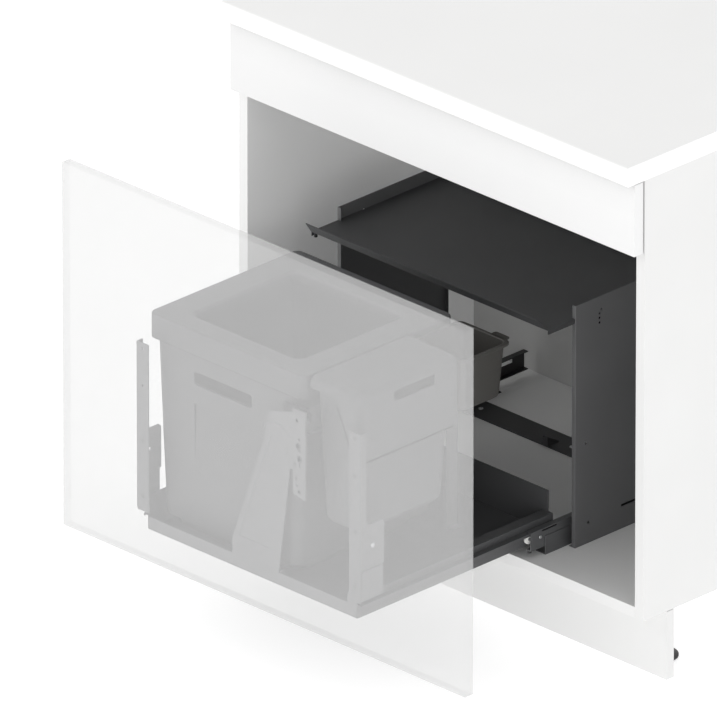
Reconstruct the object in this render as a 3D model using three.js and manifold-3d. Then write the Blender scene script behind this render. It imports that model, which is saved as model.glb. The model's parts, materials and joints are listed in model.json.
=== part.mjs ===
// Kitchen base cabinet with a pull-out waste system: carcass on adjustable legs, folded steel frame
// standing on the cabinet floor, roller runners, tray drawer with a door, one big and two small bins.
// Millimetres, +Z up, +X to the right, -Y towards the user. The drawer is shown pulled out to its stop.
import * as THREE from 'three';
import { mergeVertices } from 'three/addons/utils/BufferGeometryUtils.js';
import Module from 'manifold-3d';

const wasm = await Module();
wasm.setup();

// ---------------------------------------------------------------- driving dimensions
const clearance = 0.3; // between pieces that rest on or fit round each other
const cutOver = 5; // how far a cutting body runs past the face that it opens

// carcass
const cabinetWidth = 900;
const carcassHeight = 762;
const carcassDepth = 560;
const panel = 19;
const backThickness = 8;
const backVoid = 42; // service space behind the back panel
const backGroove = 6;
const topRailDepth = 100;
const worktopThickness = 33;
const worktopOverhang = 40;
const worktopEdgeRadius = 3;

// plinth and legs
const plinthHeight = 120;
const plinthRecess = 53;
const plinthThickness = 16;
const plinthTopGap = 1;
const legInset = 70; // leg axis from the carcass side
const rearLegInset = 60; // leg axis from the carcass rear
const legFlangeRadius = 38;
const legFlangeHeight = 6;
const legToPlinthGap = 2;
const legSocketRadius = 19;
const legSocketLength = 78;
const legScrewRadius = 9;
const legScrewEngagement = 40;
const footRadius = 30;
const footHeight = 9;
const clipWidth = 34;
const clipHeight = 26;

// fronts
const frontThickness = 19;
const frontReveal = 2; // gap between a front and the outline of the carcass
const frontStandoff = 2.3; // closed door to carcass edge
const blindHeight = 124;
const doorToBlindGap = 4;
const doorDrop = 0.5; // lower door edge above the carcass underside
const angleLeg = 25;
const angleHeight = 60;
const angleSheet = 2;

// waste frame
const frameToSide = 115.5; // left side plate to the carcass side
const frameGap = 17.3; // runner to side plate
const frameFrontY = 85.8;
const frameDepth = 242.5;
const frameHeight = 421;
const frameSheet = 1.5;
const frameFlange = 8;
const frameFoot = 14;
const shelfDrop = 22; // shelf top below the upper edge of the side plates
const shelfFrontY = 26;
const shelfFold = 8;
const shelfRearRise = 10;
const lipRise = 17.7;
const lipRun = 12.7;
const lipRightInset = 8;
const lipCorner = 8;
const bufferRadius = 3;
const bufferLength = 8;
const smallHole = 2.2;
const holeGroup = [54, 394.5]; // behind the front edge of the plate, above the carcass underside
const holePitch = 8.1;
const holeStagger = [4, 6]; // second column behind and above the first
const plateHoles = [[24, 195], [30, 55]]; // single holes, measured like the group
const plateSlot = [104, 150]; // start and end behind the front edge
const plateSlotBottom = 57.5;
const plateSlotHeight = 4;
const stripFrontY = 322;
const stripDepth = 51.6;
const stripSheet = 2;
const catchFromTray = 192; // left edge of the catch from the left side of the tray
const catchWidth = 11;
const catchDepth = 26;
const catchToTray = 2; // below the tray that passes over it
const stripEndRise = 12;
const stripHoleInset = 22;

// runners, measured outward from the side of the tray
const runnerZone = 15.7;
const runnerSheet = 1.5;
const railFrontY = 6;
const railLength = 481;
const railFlange = 10.5;
const railHeight = 32;
const railAboveFloor = 15;
const bracketSetback = 31; // floor bracket behind the front end of the rail
const bracketRearGap = 70; // floor bracket before the rear end of the rail
const bracketHeight = 33;
const bracketFoot = 6; // foot reaches this far under the tray
const railFootRadius = 3.5;
const railFootHeight = 4.5;
const railSlotStart = 25; // behind the front end of the rail
const railSlotLength = 34;
const railSlotHeight = 2.8;
const railSlotDrop = 2.2; // below the top of the rail
const rearSlotLength = 44;
const rearSlotHeight = 7;
const rearSlotRise = 17; // above the lower edge of the rail
const slideGap = 0.5;
const profileFlange = 11;
const profileLip = 5;
const frontRollerRadius = 8.5;
const rollerWidth = 5;
const rollerOffset = 4; // inner roller face from the tray side
const rollerPinRadius = 2.5;
const rollerBoreGap = 0.3;
const frontRollerSetback = 2; // axis behind the front end of the rail
const rearRollerMargin = 0.8; // roller to the rear end of the tray
const rollerStop = 47; // between the roller axes with the drawer pulled out

// tray
const trayWidth = 464;
const trayDepth = 438;
const trayFrontY = 6; // with the drawer closed
const traySheet = 2;
const trayAboveFloor = 20;
const trayRimHeight = 22;
const traySideHeight = 37;
const trayLedge = 21;
const trayLedgeLip = 10;
const trayBackHeight = 72;
const trayBackInset = 11.5;

// door brackets and centre arm
const bracketSheet = 2;
const doorFlangeWidth = 26;
const doorFlangeBottom = 82; // above the carcass underside
const doorFlangeTop = 364;
const bracketOutset = 17.5; // outer face of the bracket from the tray side
const bracketReturn = 12.5;
const bracketPlateDepth = 41;
const bracketPlateHeight = 128;
const bracketPlateStep = 1;
const doorHoleRadius = 2.5;
const doorHoleFirst = 98; // lowest hole above the carcass underside
const doorHolePitch = [96, 96, 64];
const plateHoleRadius = 3.5;
const plateHole = [26, 91]; // behind the flange, above the foot
const armSheet = 2;
const plateWidth = 28;
const plateToCarrier = 1.7;
const plateBottom = 209;
const plateTop = 362;
const armShoulder = 92; // above the carcass underside, where the taper of the arm begins
const armFoot = [137, 37]; // left of the fixing plate, outer and inner edge
const armHead = [65, 74]; // left of the fixing plate, below its upper edge
const armCurve = [[57, 32], [60, 22], [40, 19]]; // the same, rounded top of the head
const armStep = [8, 45]; // left of the fixing plate, above its lower edge
const beadDepth = 0.6;
const beadInset = 15; // bead to the outer edge of the arm at the foot
const beadHead = [[52, 70], [48, 50], [26, 50], [22, 76]];
const carrierSheet = 1.5;

// bins
const binGapToFrame = 26; // front of the bins behind the closed carcass front
const bagFrameOverhang = 20.5; // past the left side of the tray
const smallBinZone = 134.5; // right edge of the bag frame to the right side of the tray
const bagFrameDepth = 332;
const bagFrameTop = 405; // above the carcass underside
const bagFrameSkirt = 43;
const bagFrameCorner = 14;
const bagFrameWall = 2.5;
const bagRimFront = 42.5;
const bagRimRear = 58.5;
const bagRimLeft = 55.6;
const bagRimRight = 54.4;
const bagOpeningCorner = 26;
const bagCollar = 18;
const bigWall = 2.5;
const bigInset = 13; // side of the bin behind the side of the bag frame
const bigTaper = 10.5;
const bigBaseInset = 20;
const bigBaseHeight = 44;
const bigCorner = 22;
const bigBaseCorner = 36;
const slotWidth = 129;
const slotHeight = 23;
const slotOffset = 8; // grip slot left of the middle of the bin
const slotBottom = 311;
const recessHeight = 111;
const recessBottom = 167;
const recessDepth = 3;

const smallRightInset = 13.5; // behind the right side of the tray
const frontBinDepth = 225;
const hoodTop = 411;
const hoodHeight = 117;
const hoodWall = 2;
const hoodShortSkirt = 20;
const hoodCorner = 16;
const hoodCrown = 14; // radius between the top and the skirts
const hoodBeadWidth = 10; // inner bead that sits on the rim of the bin
const hoodBeadHeight = 2.5;
const gripLength = 90;
const gripHeight = 18;
const gripDrop = 15; // upper edge of the grip below the hood top
const gripSetback = 77;
const smallInset = 9;
const smallWall = 2;
const smallTaper = 7;
const frontBinBottom = 158;
const frontBinTop = 392;
const smallCorner = 22;
const binToBinGap = 2;
const rearBinDepth = 113;
const rearBinTop = 395;
const rearBinBottom = 300;
const rearBinTaper = 6;
const rearBinRim = 5;
const rearBinCorner = 14;
const rearLip = 9;

// carrier of the small bins
const carrierGap = 2.7; // bag frame to carrier
const carrierTop = 351;
const carrierHeight = 41;
const carrierLegDepth = 25;
const carrierFoot = 16;
const hookWidth = 60;
const hookDrop = 14;
const clipReach = [27.7, 30.3]; // clip to the left and right of the carrier
const carrierClipDepth = 7;
const carrierClipBottom = 345;
const carrierClipTop = 365;

// ---------------------------------------------------------------- derived places
const halfWidth = cabinetWidth / 2;
const base = plinthHeight; // carcass underside
const floorTop = base + panel;
const carcassTop = base + carcassHeight;
const innerHalf = halfWidth - panel;
const backFrontY = carcassDepth - backVoid - backThickness;
const closedDoorBackY = -frontStandoff;
const frameWidth = trayWidth + 2 * (runnerZone + frameGap);
const frameCentreX = frameToSide - innerHalf + frameWidth / 2; // middle plane of frame, runners and tray
const frameLeft = frameCentreX - frameWidth / 2;
const frameRight = frameCentreX + frameWidth / 2;
const frameRearY = frameFrontY + frameDepth;
const frameTop = floorTop + frameHeight;
const shelfTop = frameTop - shelfDrop;
const trayRight = frameCentreX + trayWidth / 2;
const trayLeft = frameCentreX - trayWidth / 2;
const trayBottom = floorTop + trayAboveFloor;
const trayFloor = trayBottom + traySheet;
const trayRearY = trayFrontY + trayDepth;
const railBottom = floorTop + railAboveFloor;
const railTop = railBottom + railHeight;
const railRearY = railFrontY + railLength;
const profileTop = railTop - runnerSheet - slideGap;
const frontRollerY = railFrontY + frontRollerSetback;
const rearRollerRadius = railHeight / 2 - runnerSheet - clearance;
const rearRollerY = trayRearY - rearRollerRadius - rearRollerMargin;
const drawerTravel = rearRollerY - frontRollerY - rollerStop;
const bagFrameLeft = trayLeft - bagFrameOverhang;
const bagFrameRight = trayRight - smallBinZone;
const carrierX = bagFrameRight + carrierGap;
const smallLeft = carrierX + clearance;
const smallWidth = trayRight - smallRightInset - smallLeft;
const plateLeft = carrierX - plateToCarrier;
const doorFrontY = closedDoorBackY - frontThickness - drawerTravel;
const footprintMiddleY = (doorFrontY + carcassDepth) / 2;

// ---------------------------------------------------------------- shape tools
function onlyPositions(geometry) {
  const bare = new THREE.BufferGeometry();
  bare.setAttribute('position', geometry.getAttribute('position').clone());
  if (geometry.index) bare.setIndex(geometry.index.clone());
  return mergeVertices(bare, 1e-5);
}

function outlineShape(points) {
  const shape = new THREE.Shape();
  shape.setFromPoints(points.map(([a, b]) => new THREE.Vector2(a, b)));
  return shape;
}

// A prism of a shape, with its ends exactly at from and to. Axis z takes the shape in XY, x takes it in YZ
// and y takes it in ZX.
function prism(shape, axis, from, to, curveSegments = 8) {
  const geometry = new THREE.ExtrudeGeometry(shape, { depth: 1, bevelEnabled: false, curveSegments });
  const position = geometry.getAttribute('position');
  for (let i = 0; i < position.count; i += 1) {
    const u = position.getX(i);
    const v = position.getY(i);
    const t = position.getZ(i) < 0.5 ? from : to;
    if (axis === 'z') position.setXYZ(i, u, v, t);
    if (axis === 'x') position.setXYZ(i, t, u, v);
    if (axis === 'y') position.setXYZ(i, v, t, u);
  }
  return onlyPositions(geometry);
}

function block(x0, x1, y0, y1, z0, z1) {
  return prism(outlineShape([[x0, y0], [x1, y0], [x1, y1], [x0, y1]]), 'z', z0, z1);
}

// Section given as [x, z] points, drawn along Y.
function alongY(points, y0, y1) {
  return prism(outlineShape(points.map(([x, z]) => [z, x])), 'y', y0, y1);
}

// Section given as [y, z] points, drawn along X.
function alongX(points, x0, x1) {
  return prism(outlineShape(points), 'x', x0, x1);
}

function circleShape(u, v, radius) {
  const shape = new THREE.Shape();
  shape.absarc(u, v, radius, 0, 2 * Math.PI, false);
  return shape;
}

function roundX(y, z, radius, x0, x1, segments = 10) {
  return prism(circleShape(y, z, radius), 'x', x0, x1, segments);
}

function roundY(x, z, radius, y0, y1, segments = 10) {
  return prism(circleShape(z, x, radius), 'y', y0, y1, segments);
}

function roundZ(x, y, radius, z0, z1, segments = 10) {
  return prism(circleShape(x, y, radius), 'z', z0, z1, segments);
}

function toManifold(geometry) {
  const vertProperties = new Float32Array(geometry.getAttribute('position').array);
  const triVerts = new Uint32Array(geometry.index.array);
  return new wasm.Manifold(new wasm.Mesh({ numProp: 3, vertProperties, triVerts }));
}

function fromManifold(solid) {
  const mesh = solid.getMesh();
  const geometry = new THREE.BufferGeometry();
  geometry.setAttribute('position', new THREE.BufferAttribute(new Float32Array(mesh.vertProperties), 3));
  geometry.setIndex(new THREE.BufferAttribute(new Uint32Array(mesh.triVerts), 1));
  return geometry;
}

function join(...geometries) {
  return fromManifold(geometries.map(toManifold).reduce((a, b) => a.add(b)));
}

function cut(geometry, ...tools) {
  return fromManifold(tools.map(toManifold).reduce((a, b) => a.subtract(b), toManifold(geometry)));
}

// The same piece on the other side of the runners' middle plane.
function mirrored(geometry) {
  const copy = geometry.clone();
  const position = copy.getAttribute('position');
  for (let i = 0; i < position.count; i += 1) position.setX(i, 2 * frameCentreX - position.getX(i));
  const index = copy.index.array;
  for (let i = 0; i < index.length; i += 3) [index[i], index[i + 1]] = [index[i + 1], index[i]];
  return copy;
}

// One ring of a loft: a rectangle with round corners, counter-clockwise, at height z.
function ring(x0, x1, y0, y1, radius, z, steps = 5) {
  const corners = [
    [x1 - radius, y0 + radius, -Math.PI / 2],
    [x1 - radius, y1 - radius, 0],
    [x0 + radius, y1 - radius, Math.PI / 2],
    [x0 + radius, y0 + radius, Math.PI],
  ];
  return corners.flatMap(([cx, cy, start]) => Array.from({ length: steps + 1 }, (_, i) => {
    const angle = start + (i / steps) * (Math.PI / 2);
    return [cx + radius * Math.cos(angle), cy + radius * Math.sin(angle), z];
  }));
}

// Skin through rings of equal length. A closed loft joins its last ring to its first, an open one has caps.
function loft(rings, closed = false) {
  const count = rings[0].length;
  const points = rings.flat();
  const triangles = [];
  const spans = closed ? rings.length : rings.length - 1;
  for (let r = 0; r < spans; r += 1) {
    const low = r * count;
    const high = ((r + 1) % rings.length) * count;
    for (let i = 0; i < count; i += 1) {
      const j = (i + 1) % count;
      triangles.push(low + i, low + j, high + j, low + i, high + j, high + i);
    }
  }
  if (!closed) {
    [[0, true], [rings.length - 1, false]].forEach(([r, down]) => {
      const middle = points.length;
      const sum = rings[r].reduce((s, p) => [s[0] + p[0], s[1] + p[1], s[2] + p[2]], [0, 0, 0]);
      points.push(sum.map((value) => value / count));
      for (let i = 0; i < count; i += 1) {
        const j = (i + 1) % count;
        triangles.push(middle, r * count + (down ? j : i), r * count + (down ? i : j));
      }
    });
  }
  const geometry = new THREE.BufferGeometry();
  geometry.setAttribute('position', new THREE.Float32BufferAttribute(points.flat(), 3));
  geometry.setIndex(triangles);
  return geometry;
}

function lathe(profile, x, y, segments = 20) {
  const points = profile.map(([radius, z]) => new THREE.Vector2(radius, z));
  const geometry = new THREE.LatheGeometry(points, segments);
  geometry.rotateX(Math.PI / 2);
  geometry.translate(x, y, 0);
  return onlyPositions(geometry);
}

// ---------------------------------------------------------------- finishes
function finish(color, roughness, metalness) {
  return new THREE.MeshStandardMaterial({ color, roughness, metalness });
}

const whiteBoard = finish(0xf2f2f0, 0.55, 0);
const whiteFront = finish(0xf6f6f5, 0.4, 0);
const worktopWhite = finish(0xf4f4f3, 0.45, 0);
const plinthWhite = finish(0xefefed, 0.5, 0);
const anthraciteSteel = finish(0x3f4144, 0.5, 0.4);
const traySteel = finish(0x35373a, 0.5, 0.4);
const bracketSteel = finish(0x5c5e60, 0.45, 0.5);
const runnerSteel = finish(0x606264, 0.4, 0.6);
const zincSteel = finish(0xb4b6b8, 0.35, 0.8);
const whiteNylon = finish(0xe9e9e6, 0.4, 0);
const blackPlastic = finish(0x1b1c1d, 0.5, 0);
const binPlastic = finish(0x3a3c3e, 0.55, 0);
const taupePlastic = finish(0x5d5a53, 0.55, 0);

const cabinet = new THREE.Group();
const drawer = new THREE.Group();
const part = new THREE.Group();

function add(group, name, geometry, material) {
  geometry.computeVertexNormals();
  const mesh = new THREE.Mesh(geometry, material);
  mesh.name = name;
  group.add(mesh);
}

// ---------------------------------------------------------------- carcass
function sidePanel(sign) {
  const outer = sign * halfWidth;
  const inner = sign * innerHalf;
  const [x0, x1] = [Math.min(outer, inner), Math.max(outer, inner)];
  const board = block(x0, x1, 0, carcassDepth, base, carcassTop);
  const grooveEnd = inner + sign * (backGroove + clearance);
  const grooveMouth = inner - sign * cutOver;
  const [g0, g1] = [Math.min(grooveEnd, grooveMouth), Math.max(grooveEnd, grooveMouth)];
  const groove = block(g0, g1, backFrontY - clearance, backFrontY + backThickness + clearance,
    floorTop - clearance, carcassTop + cutOver);
  return cut(board, groove);
}

function makeCarcass() {
  add(cabinet, 'side_panel_left', sidePanel(-1), whiteBoard);
  add(cabinet, 'side_panel_right', sidePanel(1), whiteBoard);
  add(cabinet, 'bottom_panel', block(-innerHalf, innerHalf, 0, carcassDepth, base, floorTop), whiteBoard);
  const backHalf = innerHalf + backGroove;
  add(cabinet, 'back_panel',
    block(-backHalf, backHalf, backFrontY, backFrontY + backThickness, floorTop, carcassTop), whiteBoard);
  const railUnder = carcassTop - panel;
  const frontRail = block(-innerHalf, innerHalf, 0, topRailDepth, railUnder, carcassTop);
  add(cabinet, 'top_rail_front', frontRail, whiteBoard);
  add(cabinet, 'top_rail_rear',
    block(-innerHalf, innerHalf, backFrontY - topRailDepth, backFrontY, railUnder, carcassTop), whiteBoard);
}

function makeWorktop() {
  const front = -worktopOverhang;
  const low = carcassTop;
  const high = carcassTop + worktopThickness;
  const r = worktopEdgeRadius;
  const shape = new THREE.Shape();
  shape.moveTo(carcassDepth, low);
  shape.lineTo(carcassDepth, high);
  shape.lineTo(front + r, high);
  shape.absarc(front + r, high - r, r, Math.PI / 2, Math.PI, false);
  shape.lineTo(front, low + r);
  shape.absarc(front + r, low + r, r, Math.PI, 1.5 * Math.PI, false);
  add(cabinet, 'worktop', prism(shape, 'x', -halfWidth, halfWidth, 4), worktopWhite);
}

// ---------------------------------------------------------------- plinth and legs
const frontLegY = plinthRecess + plinthThickness + legFlangeRadius + legToPlinthGap;
const socketBottom = base - legFlangeHeight - legSocketLength;

function legSocket(x, y) {
  const bore = legScrewRadius + clearance;
  const boreTop = socketBottom + legScrewEngagement + clearance;
  return lathe([
    [0, base], [legFlangeRadius, base], [legFlangeRadius, base - legFlangeHeight],
    [legSocketRadius + 6, base - legFlangeHeight - 6], [legSocketRadius, base - legFlangeHeight - 14],
    [legSocketRadius, socketBottom], [bore, socketBottom], [bore, boreTop], [0, boreTop], [0, base],
  ].reverse(), x, y);
}

function legFoot(x, y) {
  return lathe([
    [0, 0], [footRadius, 0], [footRadius, footHeight * 0.6], [footRadius * 0.6, footHeight],
    [legSocketRadius - 4, footHeight], [legSocketRadius - 4, socketBottom], [legScrewRadius, socketBottom],
    [legScrewRadius, socketBottom + legScrewEngagement], [0, socketBottom + legScrewEngagement],
  ], x, y);
}

function makePlinth() {
  add(cabinet, 'plinth_board', block(-halfWidth, halfWidth, plinthRecess, plinthRecess + plinthThickness,
    0, plinthHeight - plinthTopGap), plinthWhite);
  const legX = halfWidth - legInset;
  const places = [
    ['front_left', -legX, frontLegY], ['front_right', legX, frontLegY],
    ['rear_left', -legX, carcassDepth - rearLegInset], ['rear_right', legX, carcassDepth - rearLegInset],
  ];
  places.forEach(([where, x, y]) => {
    add(cabinet, `leg_socket_${where}`, legSocket(x, y), blackPlastic);
    add(cabinet, `leg_foot_${where}`, legFoot(x, y), blackPlastic);
  });
  const clipZ = (base - legFlangeHeight - 14 + socketBottom) / 2 - clipHeight / 2;
  [['left', -legX], ['right', legX]].forEach(([where, x]) => {
    const body = block(x - clipWidth / 2, x + clipWidth / 2, plinthRecess + plinthThickness, frontLegY + 8,
      clipZ, clipZ + clipHeight);
    const seat = roundZ(x, frontLegY, legSocketRadius + clearance, clipZ - cutOver,
      clipZ + clipHeight + cutOver);
    add(cabinet, `plinth_clip_${where}`, cut(body, seat), blackPlastic);
  });
}

// ---------------------------------------------------------------- blind front
const blindTop = carcassTop - frontReveal;
const blindBottom = blindTop - blindHeight;
const frontHalf = halfWidth - frontReveal;

function makeBlindFront() {
  const blindFrontY = closedDoorBackY - frontThickness;
  const blindFront = block(-frontHalf, frontHalf, blindFrontY, closedDoorBackY, blindBottom, blindTop);
  add(cabinet, 'blind_front', blindFront, whiteFront);
  const z0 = (blindTop + blindBottom - angleHeight) / 2;
  [['left', -1], ['right', 1]].forEach(([where, sign]) => {
    const wall = sign * innerHalf;
    const points = [
      [wall, closedDoorBackY],
      [wall, closedDoorBackY + angleLeg],
      [wall - sign * angleSheet, closedDoorBackY + angleLeg],
      [wall - sign * angleSheet, closedDoorBackY + angleSheet],
      [wall - sign * angleLeg, closedDoorBackY + angleSheet],
      [wall - sign * angleLeg, closedDoorBackY],
    ];
    const angle = prism(outlineShape(points), 'z', z0, z0 + angleHeight);
    add(cabinet, `blind_front_angle_${where}`, angle, zincSteel);
  });
}

// ---------------------------------------------------------------- waste frame
function frameSide() {
  const outer = frameRight;
  const inner = frameRight - frameSheet;
  const plan = [
    [outer, frameFrontY], [outer, frameRearY], [outer - frameFlange, frameRearY],
    [outer - frameFlange, frameRearY - frameSheet], [inner, frameRearY - frameSheet],
    [inner, frameFrontY + frameSheet], [outer - frameFlange, frameFrontY + frameSheet],
    [outer - frameFlange, frameFrontY],
  ];
  const wall = prism(outlineShape(plan), 'z', floorTop, frameTop);
  const foot = block(outer - frameFoot, outer, frameFrontY, frameRearY, floorTop, floorTop + frameSheet);
  const drill = (y, z, radius) => roundX(y, base + z, radius, inner - cutOver, outer + cutOver, 6);
  const [groupY, groupZ] = [frameFrontY + holeGroup[0], holeGroup[1]];
  const holes = [0, 1, 2].map((n) => drill(groupY, groupZ + n * holePitch, smallHole));
  holes.push(drill(groupY + holeStagger[0], groupZ + 2 * holePitch + holeStagger[1], smallHole));
  holes.push(...plateHoles.map(([y, z]) => drill(frameFrontY + y, z, smallHole)));
  const slot = block(inner - cutOver, outer + cutOver,
    frameFrontY + plateSlot[0], frameFrontY + plateSlot[1],
    base + plateSlotBottom, base + plateSlotBottom + plateSlotHeight);
  return cut(join(wall, foot), ...holes, slot);
}

function shelf() {
  const t = frameSheet;
  const left = frameLeft + frameSheet;
  const right = frameRight - frameSheet;
  const length = Math.hypot(lipRise, lipRun);
  const [ny, nz] = [(lipRise / length) * t, (lipRun / length) * t];
  const section = [
    [shelfFrontY, shelfTop - t],
    [frameRearY, shelfTop - t],
    [frameRearY, shelfTop],
    [shelfFrontY + t / 2, shelfTop],
    [shelfFrontY - lipRun + ny, shelfTop + lipRise], [shelfFrontY - lipRun, shelfTop + lipRise - nz],
  ];
  const sheet = alongX(section, left, right);
  const fold = (x0, x1) => block(x0, x1, shelfFrontY, frameRearY - shelfFold,
    shelfTop - shelfFold, shelfTop - t / 2);
  const rear = block(left, right, frameRearY - t, frameRearY, shelfTop - t / 2, shelfTop + shelfRearRise);
  const body = join(sheet, fold(left, left + t), fold(right - t, right), rear);
  const reach = frameFlange + clearance - frameSheet;
  const y0 = frameFrontY - clearance;
  const y1 = frameFrontY + frameSheet + clearance;
  const tall = [shelfTop - shelfFold - cutOver, shelfTop + shelfRearRise + cutOver];
  const tools = [
    block(left - cutOver, left + reach, y0, y1, ...tall),
    block(right - reach, right + cutOver, y0, y1, ...tall),
    block(left - cutOver, left + reach, frameRearY - t - clearance, frameRearY + cutOver, ...tall),
    block(right - reach, right + cutOver, frameRearY - t - clearance, frameRearY + cutOver, ...tall),
    block(right - lipRightInset, right + cutOver, shelfFrontY - lipRun - cutOver, shelfFrontY - 0.5,
      shelfTop - cutOver, shelfTop + lipRise + cutOver),
  ];
  const cornerX = right - lipRightInset;
  const cornerZ = shelfTop + lipRise;
  const shape = new THREE.Shape();
  shape.moveTo(cornerZ - lipCorner, cornerX + 1);
  shape.lineTo(cornerZ + 1, cornerX + 1);
  shape.lineTo(cornerZ + 1, cornerX - lipCorner);
  shape.lineTo(cornerZ, cornerX - lipCorner);
  shape.absarc(cornerZ - lipCorner, cornerX - lipCorner, lipCorner, 0, Math.PI / 2, false);
  tools.push(prism(shape, 'y', shelfFrontY - lipRun - cutOver, shelfFrontY - 0.5));
  return cut(body, ...tools);
}

// Strip between the runners with upturned ends and a catch: a narrow tab with a gusset behind it.
function floorStrip() {
  const left = trayLeft + bracketFoot;
  const right = trayRight - bracketFoot;
  const y1 = stripFrontY + stripDepth;
  const top = floorTop + stripSheet;
  const under = floorTop + stripSheet / 2;
  const high = trayBottom - catchToTray;
  const catchLeft = trayLeft + catchFromTray;
  const catchRight = catchLeft + catchWidth;
  const plate = block(left, right, stripFrontY, y1, floorTop, top);
  const tab = block(catchLeft, catchRight, stripFrontY, stripFrontY + stripSheet, under, high);
  const gusset = alongX([
    [stripFrontY + stripSheet / 2, under], [stripFrontY + catchDepth, under],
    [stripFrontY + catchDepth, top + stripSheet], [stripFrontY + stripSheet / 2, high],
  ], catchRight - stripSheet, catchRight);
  const end = (x0) => block(x0, x0 + stripSheet, stripFrontY + 8, y1, under, top + stripEndRise);
  const middleY = stripFrontY + stripDepth / 2;
  const hole = (x) => roundZ(x, middleY, smallHole, floorTop - cutOver, top + cutOver, 6);
  return cut(join(plate, tab, gusset, end(left), end(right - stripSheet)),
    hole(left + stripHoleInset), hole(right - stripHoleInset), hole(frameCentreX));
}

function makeFrame() {
  add(cabinet, 'frame_side_right', frameSide(), anthraciteSteel);
  add(cabinet, 'frame_side_left', mirrored(frameSide()), anthraciteSteel);
  add(cabinet, 'frame_shelf', shelf(), anthraciteSteel);
  const pinTop = shelfTop - frameSheet;
  const pin = roundZ(frameLeft + frameSheet + 6, shelfFrontY + bufferRadius + 1, bufferRadius,
    pinTop - bufferLength, pinTop, 8);
  add(cabinet, 'shelf_buffer', pin, blackPlastic);
  add(cabinet, 'floor_strip', floorStrip(), anthraciteSteel);
}

// ---------------------------------------------------------------- runners
const frontRollerZ = profileTop - runnerSheet - clearance - frontRollerRadius;
const rearRollerZ = railBottom + railHeight / 2;
const rollerInner = trayRight + rollerOffset;
const rollerOuter = rollerInner + rollerWidth;
const railWebOuter = trayRight + runnerZone - runnerSheet;
const railWebInner = railWebOuter - runnerSheet;
const railFlangeTip = railWebOuter - railFlange;

function cabinetRail() {
  const t = runnerSheet;
  const section = alongY([
    [railFlangeTip, railBottom],
    [railWebOuter, railBottom],
    [railWebOuter, railTop],
    [railFlangeTip, railTop],
    [railFlangeTip, railTop - t], [railWebInner, railTop - t], [railWebInner, railBottom + t],
    [railFlangeTip, railBottom + t],
  ], railFrontY, railRearY);
  const pin = roundX(frontRollerY, frontRollerZ, rollerPinRadius, rollerInner, railWebInner + t / 2, 5);
  const opening = (y, z, length, height) => block(railWebInner - 1, railWebOuter + cutOver,
    y, y + length, z, z + height);
  const frontSlot = opening(railFrontY + railSlotStart, railTop - railSlotDrop - railSlotHeight,
    railSlotLength, railSlotHeight);
  const rearSlot = opening(railRearY - bracketRearGap, railBottom + rearSlotRise,
    rearSlotLength, rearSlotHeight);
  return cut(join(section, pin), frontSlot, rearSlot);
}

function floorBracket() {
  const outer = trayRight + runnerZone;
  const inner = trayRight - bracketFoot;
  return alongY([
    [inner, floorTop], [outer, floorTop], [outer, floorTop + bracketHeight],
    [outer - runnerSheet, floorTop + bracketHeight], [outer - runnerSheet, floorTop + runnerSheet],
    [inner, floorTop + runnerSheet],
  ], railFrontY + bracketSetback, railRearY - bracketRearGap);
}

function roller(y, z, radius) {
  const shape = circleShape(y, z, radius);
  const bore = new THREE.Path();
  bore.absarc(y, z, rollerPinRadius + rollerBoreGap, 0, 2 * Math.PI, true);
  shape.holes.push(bore);
  return prism(shape, 'x', rollerInner + clearance, rollerOuter, 12);
}

function drawerRail() {
  const t = runnerSheet;
  const tip = trayRight + profileFlange;
  const flangeEnd = rearRollerY - rearRollerRadius - rearRollerMargin;
  const web = block(trayRight, trayRight + t, trayFrontY, trayRearY, trayBottom, profileTop);
  const flange = alongY([
    [trayRight, profileTop],
    [trayRight, profileTop - t],
    [tip - t, profileTop - t],
    [tip - t, profileTop - profileLip],
    [tip, profileTop - profileLip], [tip, profileTop],
  ], trayFrontY, flangeEnd);
  const pin = roundX(rearRollerY, rearRollerZ, rollerPinRadius, trayRight + t / 2, rollerOuter, 5);
  return join(web, flange, pin);
}

function makeRunners() {
  const foot = roundZ(railFlangeTip + railFootRadius, railFrontY + railFootRadius, railFootRadius,
    railBottom - railFootHeight, railBottom, 8);
  const pieces = [
    [cabinet, 'cabinet_rail', cabinetRail(), runnerSteel],
    [cabinet, 'floor_bracket', floorBracket(), runnerSteel],
    [cabinet, 'rail_foot', foot, blackPlastic],
    [cabinet, 'front_roller', roller(frontRollerY, frontRollerZ, frontRollerRadius), whiteNylon],
    [drawer, 'drawer_rail', drawerRail(), traySteel],
    [drawer, 'rear_roller', roller(rearRollerY, rearRollerZ, rearRollerRadius), whiteNylon],
  ];
  pieces.forEach(([group, name, geometry, material]) => {
    add(group, `${name}_right`, geometry, material);
    add(group, `${name}_left`, mirrored(geometry), material);
  });
}

// ---------------------------------------------------------------- tray
function tray() {
  const t = traySheet;
  const top = trayBottom + traySideHeight;
  const half = [
    [trayRight, trayBottom], [trayRight, top], [trayRight - trayLedge, top],
    [trayRight - trayLedge, top - trayLedgeLip], [trayRight - trayLedge + t, top - trayLedgeLip],
    [trayRight - trayLedge + t, top - t], [trayRight - t, top - t], [trayRight - t, trayFloor],
  ];
  const other = half.map(([x, z]) => [2 * frameCentreX - x, z]).reverse();
  const pan = alongY([...half, ...other], trayFrontY, trayRearY);
  const rim = block(trayLeft, trayRight, trayFrontY, trayFrontY + t,
    trayBottom, trayBottom + trayRimHeight);
  const end = (x0) => block(x0, x0 + trayLedge, trayFrontY, trayFrontY + t, trayBottom, top);
  return join(pan, rim, end(trayLeft), end(trayRight - trayLedge));
}

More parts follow.
